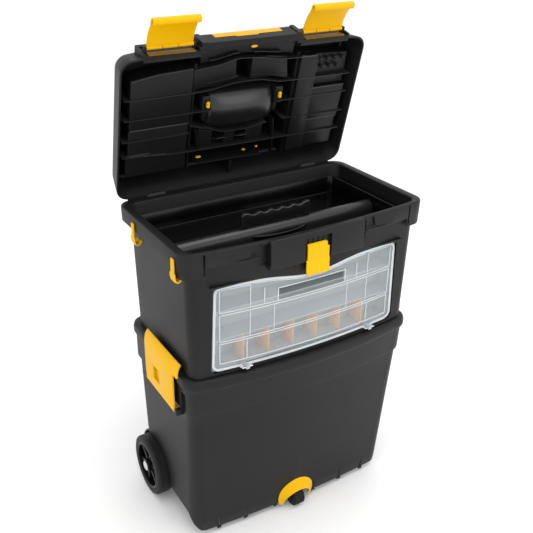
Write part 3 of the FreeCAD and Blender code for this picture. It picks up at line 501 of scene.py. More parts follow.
for sign in SIGNS:
    lining = tube("lining", (sign * 192, sign * 206), 0.5, 64.5, "x", REAR_AXLE, 72)
    visual_bin = combine(visual_bin, [lining], "UNION", 32)
wells = [tube("well", (sign * 195, sign * 245), 0.5, 61.5, "x", REAR_AXLE, 72) for sign in SIGNS]
visual_bin = combine(visual_bin, [under, side_gap, mouth] + wells, smooth=32)
reliefs = []
for sign in SIGNS:
    reliefs.append(block("relief", sided(sign, 217.2, 240), (-76, 44), (332, 356)))
    reliefs.append(block("slot", sided(sign, 212.4, 240), (-98, -84), (257, 322)))
for x in (41, 103, 157):
    for sign in SIGNS:
        reliefs.append(block("split", sided(sign, x - 1, x + 1), (-130, -85), (0, 32)))
visual_bin = combine(visual_bin, reliefs, smooth=32)
details = []
for sign in SIGNS:
    for start, end in ((-81, -73), (41, 49)):
        details.append(soft_block("ear", sided(sign, 209, 225.6), (start, end), (272, 284), 2))
    for x, edge in ((41, -99.3), (103, -97.6), (157, -95.2)):
        xs = sided(sign, x - 3, x + 5)
        details.append(soft_block("tab", xs, (edge + 0.1, edge + 2.6), (8, 13), 0.5))
visual_bin = join("bin_skin", [visual_bin] + details, 32)
piece(visual_bin, "bin", BLACK, "black_plastic", "bin_shell", "bin_skirt", "bin_rim")


def hood_ring(angle, out, forward):
    """A point of the front wheel's hood: round the arch, outward from it and towards the front."""
    turn = math.radians(angle)
    wall = (37.5 * math.cos(turn), 25 + 37.5 * math.sin(turn))
    front = (30 * math.cos(turn), 12 + 34 * math.sin(turn))
    x = wall[0] + (front[0] - wall[0]) * forward
    z = wall[1] + (front[1] - wall[1]) * forward
    back_y = -92.7 - 0.0735 * (max(z, 12) - 12) - 8
    rise = max(turn, 0) if angle <= 90 else max(math.pi - turn, 0)
    front_y = -104 - 14 * math.sin(rise)
    y = back_y + (front_y - back_y) * forward
    return (x + out * math.cos(turn), y, max(z + out * math.sin(turn), 10))


hood_rows = []
for angle in range(-20, 201, 4):
    row = [hood_ring(angle, 0, f) for f in (0, 0.25, 0.5, 0.75, 0.92)]
    row += [hood_ring(angle, -0.6, 1.0), hood_ring(angle, -2.2, 1.0)]
    row += [hood_ring(angle, -2.4, f) for f in (0.92, 0.6, 0.3, 0)]
    hood_rows.append(row)
hood_points = [point for row in hood_rows for point in row]
hood_faces = []
across = len(hood_rows[0])
for index in range(len(hood_rows) - 1):
    for spot in range(across):
        after = (spot + 1) % across
        base = index * across
        hood_faces.append((base + spot, base + after, base + across + after, base + across + spot))
hood_faces.append(tuple(range(across)))
hood_faces.append(tuple(range(len(hood_points) - across, len(hood_points))))
hood = make_mesh("wheel_hood_skin", hood_points, hood_faces, 40)
piece(hood, "bin", YELLOW, "yellow_plastic", "wheel_hood")

for side, sign in SIDES:
    cap = [(228.9, 5.1), (228.9, 9), (229.6, 9.4), (230.4, 8.8), (231.2, 7), (231.9, 4.2),
           (232, 0.3), (230.6, 0.3), (230.6, 5.1)]
    nut = lathe("axle_cap_skin_" + side, [(sign * a, r) for a, r in cap], "x", REAR_AXLE, 40, 40)
    piece(nut, "bin", STEEL, "steel", "axle_cap_" + side)

# ------------------------------------------------------------------ rear wheels

for side, sign in SIDES:
    tread = [(228, 45.6), (228, 50), (227.6, 53.2), (226.4, 55.8), (224, 57.2), (221.6, 57.5)]
    for x in (219, 213, 207):
        tread += [(x + 1.4, 57.5), (x + 1, 56.6), (x - 1, 56.6), (x - 1.4, 57.5)]
    tread += [(204, 57.5), (201, 57), (199, 55.4), (198, 52.6), (198, 45.6)]
    tyre = lathe("tyre_skin_" + side, [(sign * a, r) for a, r in tread], "x", REAR_AXLE, 96, 35)
    piece(tyre, "wheel_" + side, RUBBER, "tyre", "tyre_" + side)
    rim = [(227.4, 45.4), (228, 44.6), (227.6, 42), (226.4, 40.6), (212, 39.8), (211, 14),
           (211, 13), (227.4, 12.4), (228.4, 11.4), (228.6, 9), (228.6, 5.1), (198.4, 5.1),
           (198.4, 14), (199, 38), (199, 45.4)]
    hub = lathe("hub_skin_" + side, [(sign * a, r) for a, r in rim], "x", REAR_AXLE, 72, 35)
    spokes = []
    for number in range(6):
        spoke = soft_block("spoke", sided(sign, 210, 222.5), (-3.2, 3.2), (11, 41.5), 1.2)
        settle(spoke)
        spin = Matrix.Rotation(math.radians(60 * number + 12), 4, "X")
        spokes.append(move(spoke, Matrix.Translation(Vector((0, *REAR_AXLE)) * MM) @ spin))
    hub = join("hub_skin_" + side, [hub] + spokes, 35)
    piece(hub, "wheel_" + side, PANEL, "black_plastic", "wheel_hub_" + side)

# ------------------------------------------------------------------ front wheel

groove = []
for number in range(5):
    x = -8 + 4 * number
    groove += [(x - 1.5, 20.5), (x + 1.0, 20.5), (x + 1.4, 19.2)]
    if number < 4:
        groove += [(x + 2.2, 19.2)]
rib_profile = [(-10, 3.1), (-10, 16), (-9.8, 18.6)] + groove[:-1] + [(9.8, 18.6), (10, 16), (10, 3.1)]
roller = lathe("roller_skin", rib_profile, "x", FRONT_AXLE, 64, 30)
piece(roller, "front_wheel", RUBBER, "tyre", "front_roller")

# ------------------------------------------------------------------ side latches

for side, sign in SIDES:
    path = [(223.2, 276), (224.4, 281), (224.7, 300), (224.7, 344), (224.3, 356), (222.6, 365),
            (219.6, 370.6), (217.3, 373.2)]
    plate = strip("side_latch_skin_" + side, [(sign * x, z) for x, z in path], "y", -72, 40, 3.4)
    lip_path = [(224.5, 350), (224.1, 357), (222.4, 365.5), (219.4, 371.2), (217.2, 373.6)]
    lip = strip("lip", [(sign * x, z) for x, z in lip_path], "y", -88, -70, 3.4)
    roll = tube("roll", (-72, 40), 2.56, 4.9, "y", (sign * 221, 278), 32, 35)
    window = block("window", sided(sign, 210, 240), (-17, 6), (296, 322))
    plate = combine(plate, [window], smooth=35)
    slope_shape = [(-17.4, 295), (6.4, 295), (6.4, 310), (-17.4, 318)]
    slope = prism("slope", slope_shape, "x", *sided(sign, 219.6, 221))
    window_frame = (
        ((-18.6, -17), (295, 323)),
        ((6, 7.6), (295, 323)),
        ((-18.6, 7.6), (294.4, 296)),
        ((-18.6, 7.6), (322, 323.6)),
    )
    frame_bits = [block("bit", sided(sign, 219.6, 224), ys, zs) for ys, zs in window_frame]
    bevel(plate, 0.8, 2, 50)
    bevel(lip, 0.8, 2, 50)
    plate = join("side_latch_skin_" + side, [plate, lip, roll, slope] + frame_bits, 35)
    piece(plate, "side_latch_" + side, YELLOW, "yellow_plastic", "side_latch_" + side)

# ------------------------------------------------------------------ tool box shell


def dip(x):
    """How far the organiser's top edge falls towards its middle."""
    reach = min(abs(x) / DIP_HALF, 1)
    return DIP_DEPTH * (0.5 + 0.5 * math.cos(math.pi * reach))


def organiser_outline(grow, low, high, half_low, half_high, radius=10):
    """The organiser's face outline in x and z, grown outward."""
    points = []
    corners = (
        (half_low + grow - radius, low - grow + radius, -90),
        (half_high + grow - radius, high + grow - radius, 0),
    )
    for x, z, start in corners:
        points += arc_points((x, z), radius, start, start + 90, 6)
    left = [(-x, z) for x, z in reversed(points)]
    steps = 44
    for step in range(1, steps):
        x = (half_high + grow - radius) * (1 - 2 * step / steps)
        points.append((x, high + grow - dip(x)))
    return points + left


shell_levels = [
    (358, 205, -109.6, 103.8, 12, 16),
    (361, 207, -112.4, 105.8, 12, 18),
    (573, 210.7, -115.9, 107.5, 12, 18),
    (575.2, 211.6, -116.8, 108.4, 12, 18),
    (576, 213, -118, 110, 12, 19),
    (576, 223.6, -122.6, 122.6, 12, 22),
    (575.4, 225.2, -123.7, 123.7, 12, 23),
    (573.6, 225.9, -124.3, 124.3, 12, 23),
    (551, 225.5, -123.8, 123.8, 12, 23),
    (550, 224.6, -123.2, 123.2, 12, 22),
    (550.2, 223, -121.6, 121.6, 12, 20),
    (571.4, 222.8, -121.3, 121.3, 12, 20),
    (572.8, 221, -120, 120, 12, 20),
    (573, 214.6, -119.6, 111.6, 12, 20),
    (570, 213.8, -119, 110.7, 12, 20),
    (460, 211.8, -116.9, 109.6, 12, 20),
    (355, 209.9, -115, 108.6, 12, 20),
    (354, 208.8, -114, 107.6, 12, 19),
    (353.9, 203.8, -110.4, 103.6, 12, 18),
    (346.6, 203, -109.4, 102.8, 12, 18),
    (346, 201.6, -108, 101.4, 12, 17),
]
shell = stack("toolbox_skin", shell_levels, 32)
additions = [
    soft_block("centre_block", (-87, 87), (-139.4, -128), (527, 576), 2),
    block("bay_back", (-180, 180), (-72, -69), (356, 514)),
    block("bay_top", (-180, 180), (-126, -69), (513, 516)),
]
corner_levels = [
    (535, 222.6, -121, 121, 12, 20),
    (571, 222.6, -121, 121, 12, 20),
    (571, 225.6, -124, 124, 12, 23),
    (535.8, 225, -123.4, 123.4, 12, 23),
    (535, 224.4, -122.8, 122.8, 12, 22),
]
for sign in SIGNS:
    additions.append(block("bay_side", sided(sign, 178, 181), (-114, -69), (356, 516)))
    corner = stack("corner_low", corner_levels, 32, True)
    keep = block("keep", sided(sign, 187, 240), (-150, -101), (500, 600))
    additions.append(combine(corner, [keep], "INTERSECT", 32))
shell = combine(shell, additions, "UNION", 32)
hole = prism("bay_hole", organiser_outline(1.2, 360.5, 511, 177, 173), "y", -150, -71.9)
cutters = [hole, block("rail_gap", (-24, 24), (-150, -133.4), (524, 566))]
cutters += [block("notch", sided(sign, 86, 99), (-150, -126.6), (535, 571)) for sign in SIGNS]
cutters += [block("panel", sided(sign, 99, 187), (-150, -129.6), (552, 573.4)) for sign in SIGNS]
cutters += [block("slot", sided(sign, 188.6, 191.6), (-150, -121), (539, 573)) for sign in SIGNS]
shell = combine(shell, cutters, smooth=32)
piece(shell, "toolbox", BLACK, "black_plastic", "toolbox_shell", "toolbox_rim", "organiser_bay")

rail_bits = [soft_block("rail", (x - 2.2, x + 2.2), (-134.6, -133), (524.5, 566), 0.4)
             for x in (-14, -5, 5, 14)]
rail_bits.append(prism("mark", [(-39, 524.6), (-31, 524.6), (-35, 517)], "y", -131.6, -130.2))
rail = join("front_rail", rail_bits)
piece(rail, "toolbox", GLOSSY, "black_plastic")

knuckles = []
for sign in SIGNS:
    for start, end in ((139, 147.7), (160.3, 169)):
        knuckles.append(tube("knuckle", (sign * start, sign * end), 2.05, 4.9, "x", HINGE, 24, 35))
        knuckles.append(block("web", sided(sign, start, end), (121.5, 125.5), (561, 573)))
piece(join("hinge_knuckles", knuckles, 35), "toolbox", BLACK, "black_plastic")

hook_path = [(227.6, 565.4), (227.7, 552), (228, 541), (227.9, 534), (226.4, 530), (223.4, 528.2),
             (220.2, 529), (218.2, 532), (217.9, 537)]
cup_path = [(228.1, 543), (228.2, 536), (226.8, 530.2), (223.4, 528), (220, 529), (218, 532.4),
            (217.8, 536)]
for side, sign in SIDES:
    for spot, middle in (("front", -98), ("back", 52)):
        place = spot + "_" + side
        path = [(sign * x, z) for x, z in hook_path]
        hook = strip("hook", path, "y", middle - 4.5, middle + 4.5, 3)
        path = [(sign * x, z) for x, z in cup_path]
        cup = strip("cup", path, "y", middle - 8, middle + 8, 2.8)
        bevel(hook, 1.2, 3, 50)
        bevel(cup, 1.2, 3, 50)
        hook = join("hook_skin_" + place, [hook, cup], 40)
        piece(hook, "toolbox", YELLOW, "yellow_plastic", "tool_hook_" + place)

# ------------------------------------------------------------------ organiser latch

upper_path = [(-134.6, 554.4), (-136.6, 553), (-137.6, 550), (-137.8, 540), (-137.4, 527)]
lower_path = [(-137.0, 528), (-138.6, 524.4), (-138.4, 514), (-139.4, 507.6), (-141.2, 503.6)]
upper = strip("latch_upper", upper_path, "x", -19.5, 16.5, 2.8)
lower = strip("latch_lower", lower_path, "x", -21.5, 21.5, 2.8)
bevel(upper, 1, 3, 50)
bevel(lower, 1, 3, 50)
slider_bits = [upper, lower]
slider_bits.append(soft_block("latch_core", (-18.5, 18.5), (-137.2, -133.6), (506, 553), 1))
slider_bits.append(soft_block("latch_step", (15, 21.5), (-138.4, -133.6), (526, 546), 1.2))
slider_bits.append(soft_block("latch_rib", (-11, 9), (-139.6, -138), (545.6, 547.6), 0.5))
slider = join("organiser_latch_skin", slider_bits, 40)
piece(slider, "organiser_latch", YELLOW, "yellow_plastic", "organiser_latch")

# ------------------------------------------------------------------ organiser


def face_y(x, z, inset):
    """The organiser's bowed and leaning front face, moved back by the inset."""
    low, high = COVER_FACE[:2]
    lean = FACE_LEAN * (high - z) / (high - low)
    return FACE_Y + lean - FACE_BOW * max(0, 1 - (x / FACE_HALF) ** 2) + inset


def bend(obj, depth):
    """Carries a flat sheet, drawn in x and z about y = 0, onto the bowed face."""
    for vertex in obj.data.vertices:
        x, y, z = vertex.co / MM
        vertex.co.y = (face_y(x, z, depth) + y) * MM
    return obj


def sheet(name, shape, low, high, cell=8):
    """A flat plate in x and z, cut into cells so that it can bend."""
    plate = prism(name, shape, "y", low, high)
    bm = bmesh.new()
    bm.from_mesh(plate.data)
    reach = int(180 / cell)
    for x in range(-reach, reach + 1):
        geometry = bm.verts[:] + bm.edges[:] + bm.faces[:]
        bmesh.ops.bisect_plane(bm, geom=geometry, plane_co=(x * cell * MM, 0, 0), plane_no=(1, 0, 0))
    bm.to_mesh(plate.data)
    bm.free()
    return plate


cover_shape = organiser_outline(0, *COVER_FACE)
cover = sheet("cover", cover_shape, 0, 2.2)
gap = prism("gap", [(-62, 466), (62, 466), (62, 486), (-62, 486)], "y", -20, 20)
cover = combine(cover, [gap])
bend(cover, 0)
piece(cover, "organiser_cover", CLEAR, "clear_plastic", "organiser_cover")

ridges = []


def ridge(x0, z0, x1, z1, width=1.5, height=1.2):
    """Adds a raised line on the cover, in steps short enough to bend with it."""
    steps = max(2, int(abs(x1 - x0) / 8))
    dx, dz = x1 - x0, z1 - z0
    size = math.hypot(dx, dz)
    nx, nz = -dz / size * width / 2, dx / size * width / 2
    upper = [(x0 + dx * s / steps + nx, z0 + dz * s / steps + nz) for s in range(steps + 1)]
    lower = [(x0 + dx * s / steps - nx, z0 + dz * s / steps - nz) for s in range(steps + 1)]
    points = []
    for y in (-height, 0.4):
        points += [(x, y, z) for x, z in upper] + [(x, y, z) for x, z in lower]
    count = steps + 1
    faces = []
    for s in range(steps):
        a, b, c, d = s, s + 1, count + s + 1, count + s
        faces += [(a, b, c, d), (2 * count + a, 2 * count + d, 2 * count + c, 2 * count + b)]
        faces += [(a, 2 * count + a, 2 * count + b, b), (d, c, 2 * count + c, 2 * count + d)]
    faces += [(0, count, 3 * count, 2 * count)]
    faces += [(steps, 2 * count + steps, 3 * count + steps, count + steps)]
    ridges.append(make_mesh("ridge", points, faces))


def frame_ridge(x0, x1, z0, z1):
    ridge(x0, z0, x1, z0)
    ridge(x0, z1, x1, z1)
    ridge(x0, z0, x0, z1)
    ridge(x1, z0, x1, z1)


frame_ridge(-163, 163, 374, 410)
frame_ridge(-163, 163, 414, 461)
frame_ridge(-163, -112, 465.5, 505)
frame_ridge(112, 163, 465.5, 505)
ridge(-112, 465.5, 112, 465.5)
for sign in SIGNS:
    ridge(sign * 88, 466, sign * 88, 494)
    ridge(sign * 64, 466, sign * 64, 488, 1.8)
    ridge(sign * 117, 374, sign * 117, 410)
    ridge(sign * 112, 415, sign * 112, 461, 1.2)
    ridge(sign * 70, 415, sign * 70, 461, 1.2)
for x in range(-104, 104, 8):
    ridge(x, 499.5 + 6 - dip(x), x + 8, 499.5 + 6 - dip(x + 8))
for x in range(-64, 64, 8):
    ridge(x, 488, x + 8, 488, 1.6)
edge_points = organiser_outline(-2.2, *COVER_FACE)
for start, end in zip(edge_points, edge_points[1:] + edge_points[:1]):
    ridge(*start, *end, 4.4, 1.0)
ridged = join("cover_ridges", ridges, 30)
bend(ridged, 0)
bevel(ridged, 0.35, 2, 50)
piece(ridged, "organiser_cover", FROST, "clear_plastic")

lugs = [soft_block("ear", sided(sign, a, b), (-126.2, -120), (361.6, 364), 0.8)
        for sign in SIGNS for a, b in ((111, 117.6), (124.4, 131))]
piece(join("cover_ears", lugs), "organiser_cover", FROST, "clear_plastic")
for number in range(1, 7):
    x = 46.8 * (number - 3.5)
    outline_yz = [(-111, 363.2), (-76.2, 363.2), (-76.2, 409), (-78, 411.4), (-109, 411.4), (-111, 409)]
    plate = bevel(prism("divider_skin_%d" % number, outline_yz, "x", x - 0.8, x + 0.8), 0.3, 2, 50)
    piece(settle(plate), "organiser", AMBER, "yellow_plastic", "divider_%d" % number)

# ------------------------------------------------------------------ tray

tray_levels = [
    (521.4, 197, -98, 103, 0.5, 9),
    (552.6, 197.6, -98.6, 103.6, 0.5, 9),
    (554, 198.6, -99.6, 104.6, 0.5, 10),
    (554, 200, -100.4, 105.4, 0.5, 11),
    (551, 200, -100.4, 105.4, 0.5, 11),
    (519.6, 198.8, -99.5, 104.5, 0.5, 10),
    (519, 197, -98, 103, 0.5, 9),
]
tray = stack("tray_skin", tray_levels, 35)
ridge_path = [(-29, 521.4), (-27, 533), (-24, 540), (-19.6, 544), (-14, 545.4), (-8.4, 544),
              (-4, 540), (-1, 533), (1, 521.4)]
ridge_bar = bevel(prism("tray_ridge", ridge_path, "x", -196.6, 196.6, 60), 2, 3, 50)
scoop = []
for step in range(13):
    angle = math.pi * step / 12
    scoop.append((-55 * math.cos(angle), -22 - 18 * math.sin(angle)))
bars = [bevel(prism("scoop", scoop, "z", 521, 534.6, 40), 4, 4, 50)]
bars.append(soft_block("wing_l", (-207, -197), (-78, 78), (550.6, 553.8), 0.8))
bars.append(soft_block("wing_r", (197, 207), (-78, 78), (550.6, 553.8), 0.8))
tray = join("tray_skin", [tray] + bars, 40)
piece(tray, "tray", GLOSSY, "black_plastic", "tray")
piece(settle(ridge_bar, 60), "tray", SATIN, "black_plastic")
# Thin lighter strips on the tray's back and right rim and along its floor edge: painted highlight
# lines.
rim_highlight_lines = [
    strip("rim_highlight_line", [(-188, 103.6), (188, 103.6)], "z", 553.2, 554.6, 1.2),
    strip("rim_highlight_line", [(197.4, -90), (197.4, 96)], "z", 553.2, 554.6, 1.2),
    strip("floor_highlight_line", [(-190, 101.6), (190, 101.6)], "z", 522, 523.4, 1),
]
piece(join("tray_highlight_lines", rim_highlight_lines, 40), "tray", HIGHLIGHT_BLACK, "black_plastic")

handle_shape = [(-66.5, 545.2), (-66.5, 564)] + arc_points((-60, 565.6), 6.3, 175, 95, 6)
for number in range(5):
    x = -44 + 22 * number
    handle_shape += arc_points((x, 580.6), 13.4, 232, 308, 8)
handle_shape += arc_points((60, 565.6), 6.3, 85, 5, 6)
handle_shape += [(66.5, 545.2), (56, 545.2), (52, 551), (-52, 551), (-56, 545.2)]
grip = bevel(prism("tray_grip_skin", handle_shape, "y", -19, -11, 40), 1.6, 3, 50)
piece(settle(grip, 40), "tray", SATIN, "black_plastic", "tray_handle")

# ------------------------------------------------------------------ lid, drawn closed and then opened

lid_levels = [
    (622.8, 206.6, -105, 105, 11, 13),
    (620.6, 211, -108.6, 108.6, 11.6, 16),
    (577.2, 222.8, -121.2, 121.2, 12, 20),
    (577, 225.4, -123.8, 123.8, 12, 22),
    (578, 225.9, -124.3, 124.3, 12, 23),
    (600, 221.5, -120, 120, 12, 22),
    (616, 218.2, -116.4, 116.4, 12, 21),
    (621, 216.4, -114.6, 114.6, 12, 20),
    (624.6, 213.4, -111.8, 111.8, 11.6, 18),
    (626, 208.4, -107, 107, 11, 14),
]
lid = stack("lid_skin", lid_levels, 32)
backs = [block("latch_back", sided(sign, 92, 188), (-131, -118), (578, 614)) for sign in SIGNS]
backs.append(block("front_core", (-92, 92), (-140, -130), (577.4, 593.4)))
backs.append(block("front_back", (-92, 92), (-134, -128), (592, 609)))
for sign in SIGNS:
    backs.append(block("front_end", sided(sign, 84, 92), (-141.4, -124), (577.4, 609)))
    backs.append(block("front_shoulder", sided(sign, 62.6, 86), (-140, -128), (577.4, 607)))
lid = combine(lid, backs, "UNION", 32)
gaps = [block("latch_gap", sided(sign, 95.6, 184.4), (-150, -127.6), (576, 607)) for sign in SIGNS]
gaps.append(soft_block("hand_gap", (-57, 57), (-55, -10), (611, 640), 6, 4))
lid = combine(lid, gaps, smooth=32)
piece(move(lid, TO_LID), "lid", BLACK, "black_plastic", "lid_shell")


def lid_block(name, xs, reach, depths, width=0.8):
    """A block inside the lid: x, distance from the hinge, height over the rim plane."""
    ys = (HINGE[0] - reach[1], HINGE[0] - reach[0])
    return soft_block(name, xs, ys, (PANEL_PLANE + depths[0], PANEL_PLANE + depths[1]), width)


def lid_piece(name, parts, material, *replaced):
    whole = move(join(name, parts, 40), TO_LID)
    return piece(whole, "lid", material, "black_plastic", *replaced)


def lid_plate(name, points, depths, width=1.0):
    """A plate inside the lid from (x, distance) corners, with its edges rounded."""
    plan = [(x, HINGE[0] - distance) for x, distance in points]
    plate = prism(name, plan, "z", PANEL_PLANE + depths[0], PANEL_PLANE + depths[1])
    return bevel(plate, width, 3, 50)


lid_piece("lid_lining", [lid_block("lining", (-205, 208), (20, 226), (40.6, 42.6), 1)], INNER)
left_parts = [
    lid_plate("left_top", [(-204, 124), (-204, 209), (-158, 216), (-98, 219), (-98, 124)], (4.6, 41)),
    lid_plate("left_low", [(-203, 36), (-204, 122), (-98, 122), (-98, 36)], (7.4, 41)),
    lid_plate("left_step", [(-206, 36), (-206, 76), (-165, 76), (-165, 36)], (9.6, 41)),
    lid_plate("left_slot", [(-164, 76), (-164, 120), (-162.6, 120), (-162.6, 76)], (6.4, 41), 0.3),
]
lid_piece("lid_left_panels", left_parts, PANEL, "lid_liner_left")
right_parts = [
    lid_plate("right_strip", [(104, 36), (104, 221), (137, 217), (137, 36)], (3.6, 41), 1.4),
    lid_plate("right_top", [(139, 94), (139, 155), (207, 156), (206, 94)], (4.6, 41)),
    lid_plate("right_low", [(139, 37), (139, 92), (205, 92), (204, 37)], (7.4, 41)),
    lid_plate("stud_plate", [(139, 158), (139, 217), (205, 214), (207, 158)], (12, 41)),
]
lid_piece("lid_right_panels", right_parts, PANEL, "lid_liner_right")
middle_parts = [
    lid_plate("middle_right", [(9, 188), (9, 226), (40, 226), (76, 221), (84, 181), (50, 188)],
              (7, 41)),
    lid_plate("middle_left", [(-96, 182), (-96, 214), (-60, 218), (-22, 230), (-18, 192), (-55, 184)],
              (7, 41)),
    lid_plate("middle_top", [(-84, 222), (-84, 250), (90, 250), (90, 222), (40, 231), (-20, 233)],
              (12, 40)),
    lid_plate("box_left", [(-76, 70), (-76, 104), (-48, 98), (-48, 70)], (12, 41)),
    lid_plate("box_middle", [(-24, 70), (-24, 94), (-4, 94), (-4, 70)], (12, 41)),
    lid_plate("box_right", [(18, 70), (18, 94), (52, 98), (52, 70)], (12, 41)),
    lid_plate("shelf_low", [(-78, 39.4), (-78, 41), (54, 38), (54, 36.4)], (5, 40), 0.4),
    lid_plate("post", [(-9, 8), (-9, 32), (-5, 32), (-5, 8)], (6, 40), 0.8),
]
lid_piece("lid_middle_panels", middle_parts, PANEL)

DOME_STEPS, DOME_TURNS = 24, 16
dome_rows = []
for step in range(DOME_STEPS + 1):
    x = -62 + 124 * step / DOME_STEPS
    fall = (1 - min(1, abs(x) / 66) ** 2.6) ** 0.5
    row = []
    for turn in range(DOME_TURNS + 1):
        angle = math.pi * turn / DOME_TURNS
        reach = 134 + 40 * math.cos(angle) * (0.88 + 0.12 * fall)
        row.append((x, HINGE[0] - reach, HINGE[1] + 37 - 34 * math.sin(angle) * (0.45 + 0.55 * fall)))
    dome_rows.append(row)
dome_points = [point for row in dome_rows for point in row]
across = DOME_TURNS + 1
dome_faces = [tuple(range(across)), tuple(range(DOME_STEPS * across, (DOME_STEPS + 1) * across))]
for step in range(DOME_STEPS):
    for turn in range(across):
        a, b = step * across + turn, step * across + (turn + 1) % across
        dome_faces.append((a, b, b + across, a + across))
dome = make_mesh("dome", dome_points, dome_faces, 60)
piece(move(dome, TO_LID), "lid", SATIN, "black_plastic")


def lid_line(path, low=3.0, thick=1.2):
    """A thin rib inside the lid along (x, distance) points, smoothed between them."""
    upper, lower = [], []
    for (x0, d0), (x1, d1) in zip(path, path[1:]):
        steps = max(1, int((x1 - x0) / 8))
        for step in range(steps):
            part = step / steps
            bend_in = part * part * (3 - 2 * part) if abs(d1 - d0) > 2 else part
            upper.append((x0 + (x1 - x0) * part, HINGE[0] - d0 - (d1 - d0) * bend_in + thick / 2))
            lower.append((upper[-1][0], upper[-1][1] - thick))
    x, distance = path[-1]
    upper.append((x, HINGE[0] - distance + thick / 2))
    lower.append((x, HINGE[0] - distance - thick / 2))
    return prism("rib", upper + lower[::-1], "z", PANEL_PLANE + low, PANEL_PLANE + 40)


top_line = [(-97, 217), (-66, 220), (-16, 229), (14, 227), (67, 219), (104, 218)]
low_line = [(-96, 118), (-73, 111), (-30, 98), (4, 97), (53, 103)]
ribs = [
    lid_line(top_line),
    lid_line([(-214, 178), (-85, 178), (-8, 187), (20, 187), (77, 178), (214, 177)]),
    lid_line([(-214, 143), (-62, 142)]),
    lid_line([(66, 141), (214, 142)]),
    lid_line(low_line),
    lid_line([(-216, 105), (-97, 105)]),
    lid_line([(84, 105), (216, 103)]),
    lid_line([(-214, 76), (-104, 69), (-10, 68), (216, 67)], 3.4),
    lid_line([(-70, 229), (-18, 237)], 6, 1.6),
    lid_line([(9, 236), (62, 231)], 6, 1.6),
    lid_line([(-73, 191), (-15, 197)], 5.6, 1.4),
    lid_line([(9, 196), (80, 190)], 6.2, 1.0),
]
for x0, d0, x1, d1 in ((-85, 110, -77, 69), (67, 108, 76, 36)):
    corners = [(x0 - 0.8, d0), (x0 + 0.8, d0), (x1 + 0.8, d1), (x1 - 0.8, d1)]
    ribs.append(lid_plate("upright", corners, (3.6, 42), 0.3))
for x in (-94, -92, 98, 101):
    ribs.append(lid_block("upright", (x - 0.6, x + 0.6), (30, 226), (8, 42), 0.3))
for x in (-36, -10, 16):
    ribs.append(lid_block("shelf", (x - 12, x + 12), (81, 82.4), (9, 40), 0.4))
for sign in SIGNS:
    ribs.append(lid_block("housing", sided(sign, 62, 77), (137, 168), (4, 42), 1.8))
    ribs.append(lid_block("housing", sided(sign, 64, 72), (120, 138), (10, 42), 1.8))
lid_piece("lid_ribs", ribs, PANEL)
# Lighter strips along the rib crests and panel edges inside the lid: painted highlight.
highlight_crests = [
    lid_line(top_line, 2.4, 0.7),
    lid_line([(-208, 178), (-85, 178), (-8, 187), (20, 187), (77, 178), (208, 177)], 2.4, 0.7),
    lid_line([(-208, 143), (-62, 142)], 2.4, 0.6),
    lid_line([(66, 141), (208, 142)], 2.4, 0.6),
    lid_line(low_line, 2.4, 0.7),
    lid_line([(-208, 105), (-97, 105)], 2.4, 0.6),
    lid_line([(-204, 76), (-104, 69), (-10, 68), (208, 67)], 2.6, 0.7),
    lid_plate("top_edge", [(-203, 208), (-158, 215), (-99, 218), (-99, 219.4), (-158, 216.4),
                           (-203, 209.4)], (4.2, 8), 0.3),
    lid_block("step_edge", (-203, -99), (122.6, 124.4), (4, 8), 0.5),
    lid_block("step_edge", (-205, -166), (75.4, 77), (7, 11), 0.5),
    lid_block("strip_edge", (104, 137), (216.4, 218.6), (3.4, 8), 0.5),
    lid_block("right_edge", (139, 207), (154.6, 156.2), (4.2, 8), 0.5),
    lid_block("right_step", (139, 205), (92.2, 93.8), (4.4, 8), 0.5),
    lid_plate("right_line", [(137, 36), (138.2, 36), (138.2, 216), (137, 216)], (3.2, 8), 0.2),
    lid_block("shelf_edge", (-40, -20), (81, 82.6), (8.4, 10), 0.3),
    lid_block("shelf_edge", (0, 20), (80, 81.6), (8.4, 10), 0.3),
]
lid_piece("lid_highlight_crests", highlight_crests, HIGHLIGHT_BLACK)

studs = [(x, 210) for x in (144, 159, 174, 190)] + [(x, 195.5) for x in (150, 166, 181)]
bumps = []
for x, distance in studs:
    profile = [(582, 0.2), (582.2, 1.6), (583.4, 3.0), (586, 3.6), (590, 3.6), (590, 0.2)]
    bumps.append(lathe("stud", profile, "z", (x, HINGE[0] - distance), 20, 40))
lid_piece("lid_studs", bumps, BLACK)

bits = []
for sign in SIGNS:
    pivot = [(578.6, 0.2), (579, 2.6), (580.4, 3.2), (582, 3.2), (582, 0.2)]
    for offset in (-2.4, 2.4):
        bits.append(lathe("pivot", pivot, "z", (sign * 69, HINGE[0] - 155 + offset), 16, 40))
for x, distance, reach in ((-72, 51, 4.4), (18, 50, 2.6), (44, 52, 2)):
    span = (distance - 1.3, distance + 1.3)
    bits.append(lid_block("clip", (x - reach, x + reach), span, (8, 12), 0.6))
piece(move(join("lid_pivots", bits, 40), TO_LID), "lid", YELLOW, "yellow_plastic")

# The front trim is drawn in the darker yellow: painted shade, as it sits recessed behind the lid's
# front.
bar_shape = [(-62, 594), (-62, 606), (-61, 607), (61, 607), (62, 606), (62, 594), (18, 594),
             (14, 590.6), (-24, 590.6), (-28, 594)]
bar = bevel(prism("front_trim_skin", bar_shape, "y", -140.4, -133), 0.6, 3, 50)
piece(move(settle(bar, 40), TO_LID), "lid", SHADED_AMBER, "yellow_plastic", "lid_front_trim")
tab_shape = [(-26, 252), (-14, 247), (10, 247), (18, 251), (14, 257), (-22, 257)]
lid_piece("lock_tab", [lid_plate("lock_tab", tab_shape, (0.6, 4), 0.8)], BLACK)
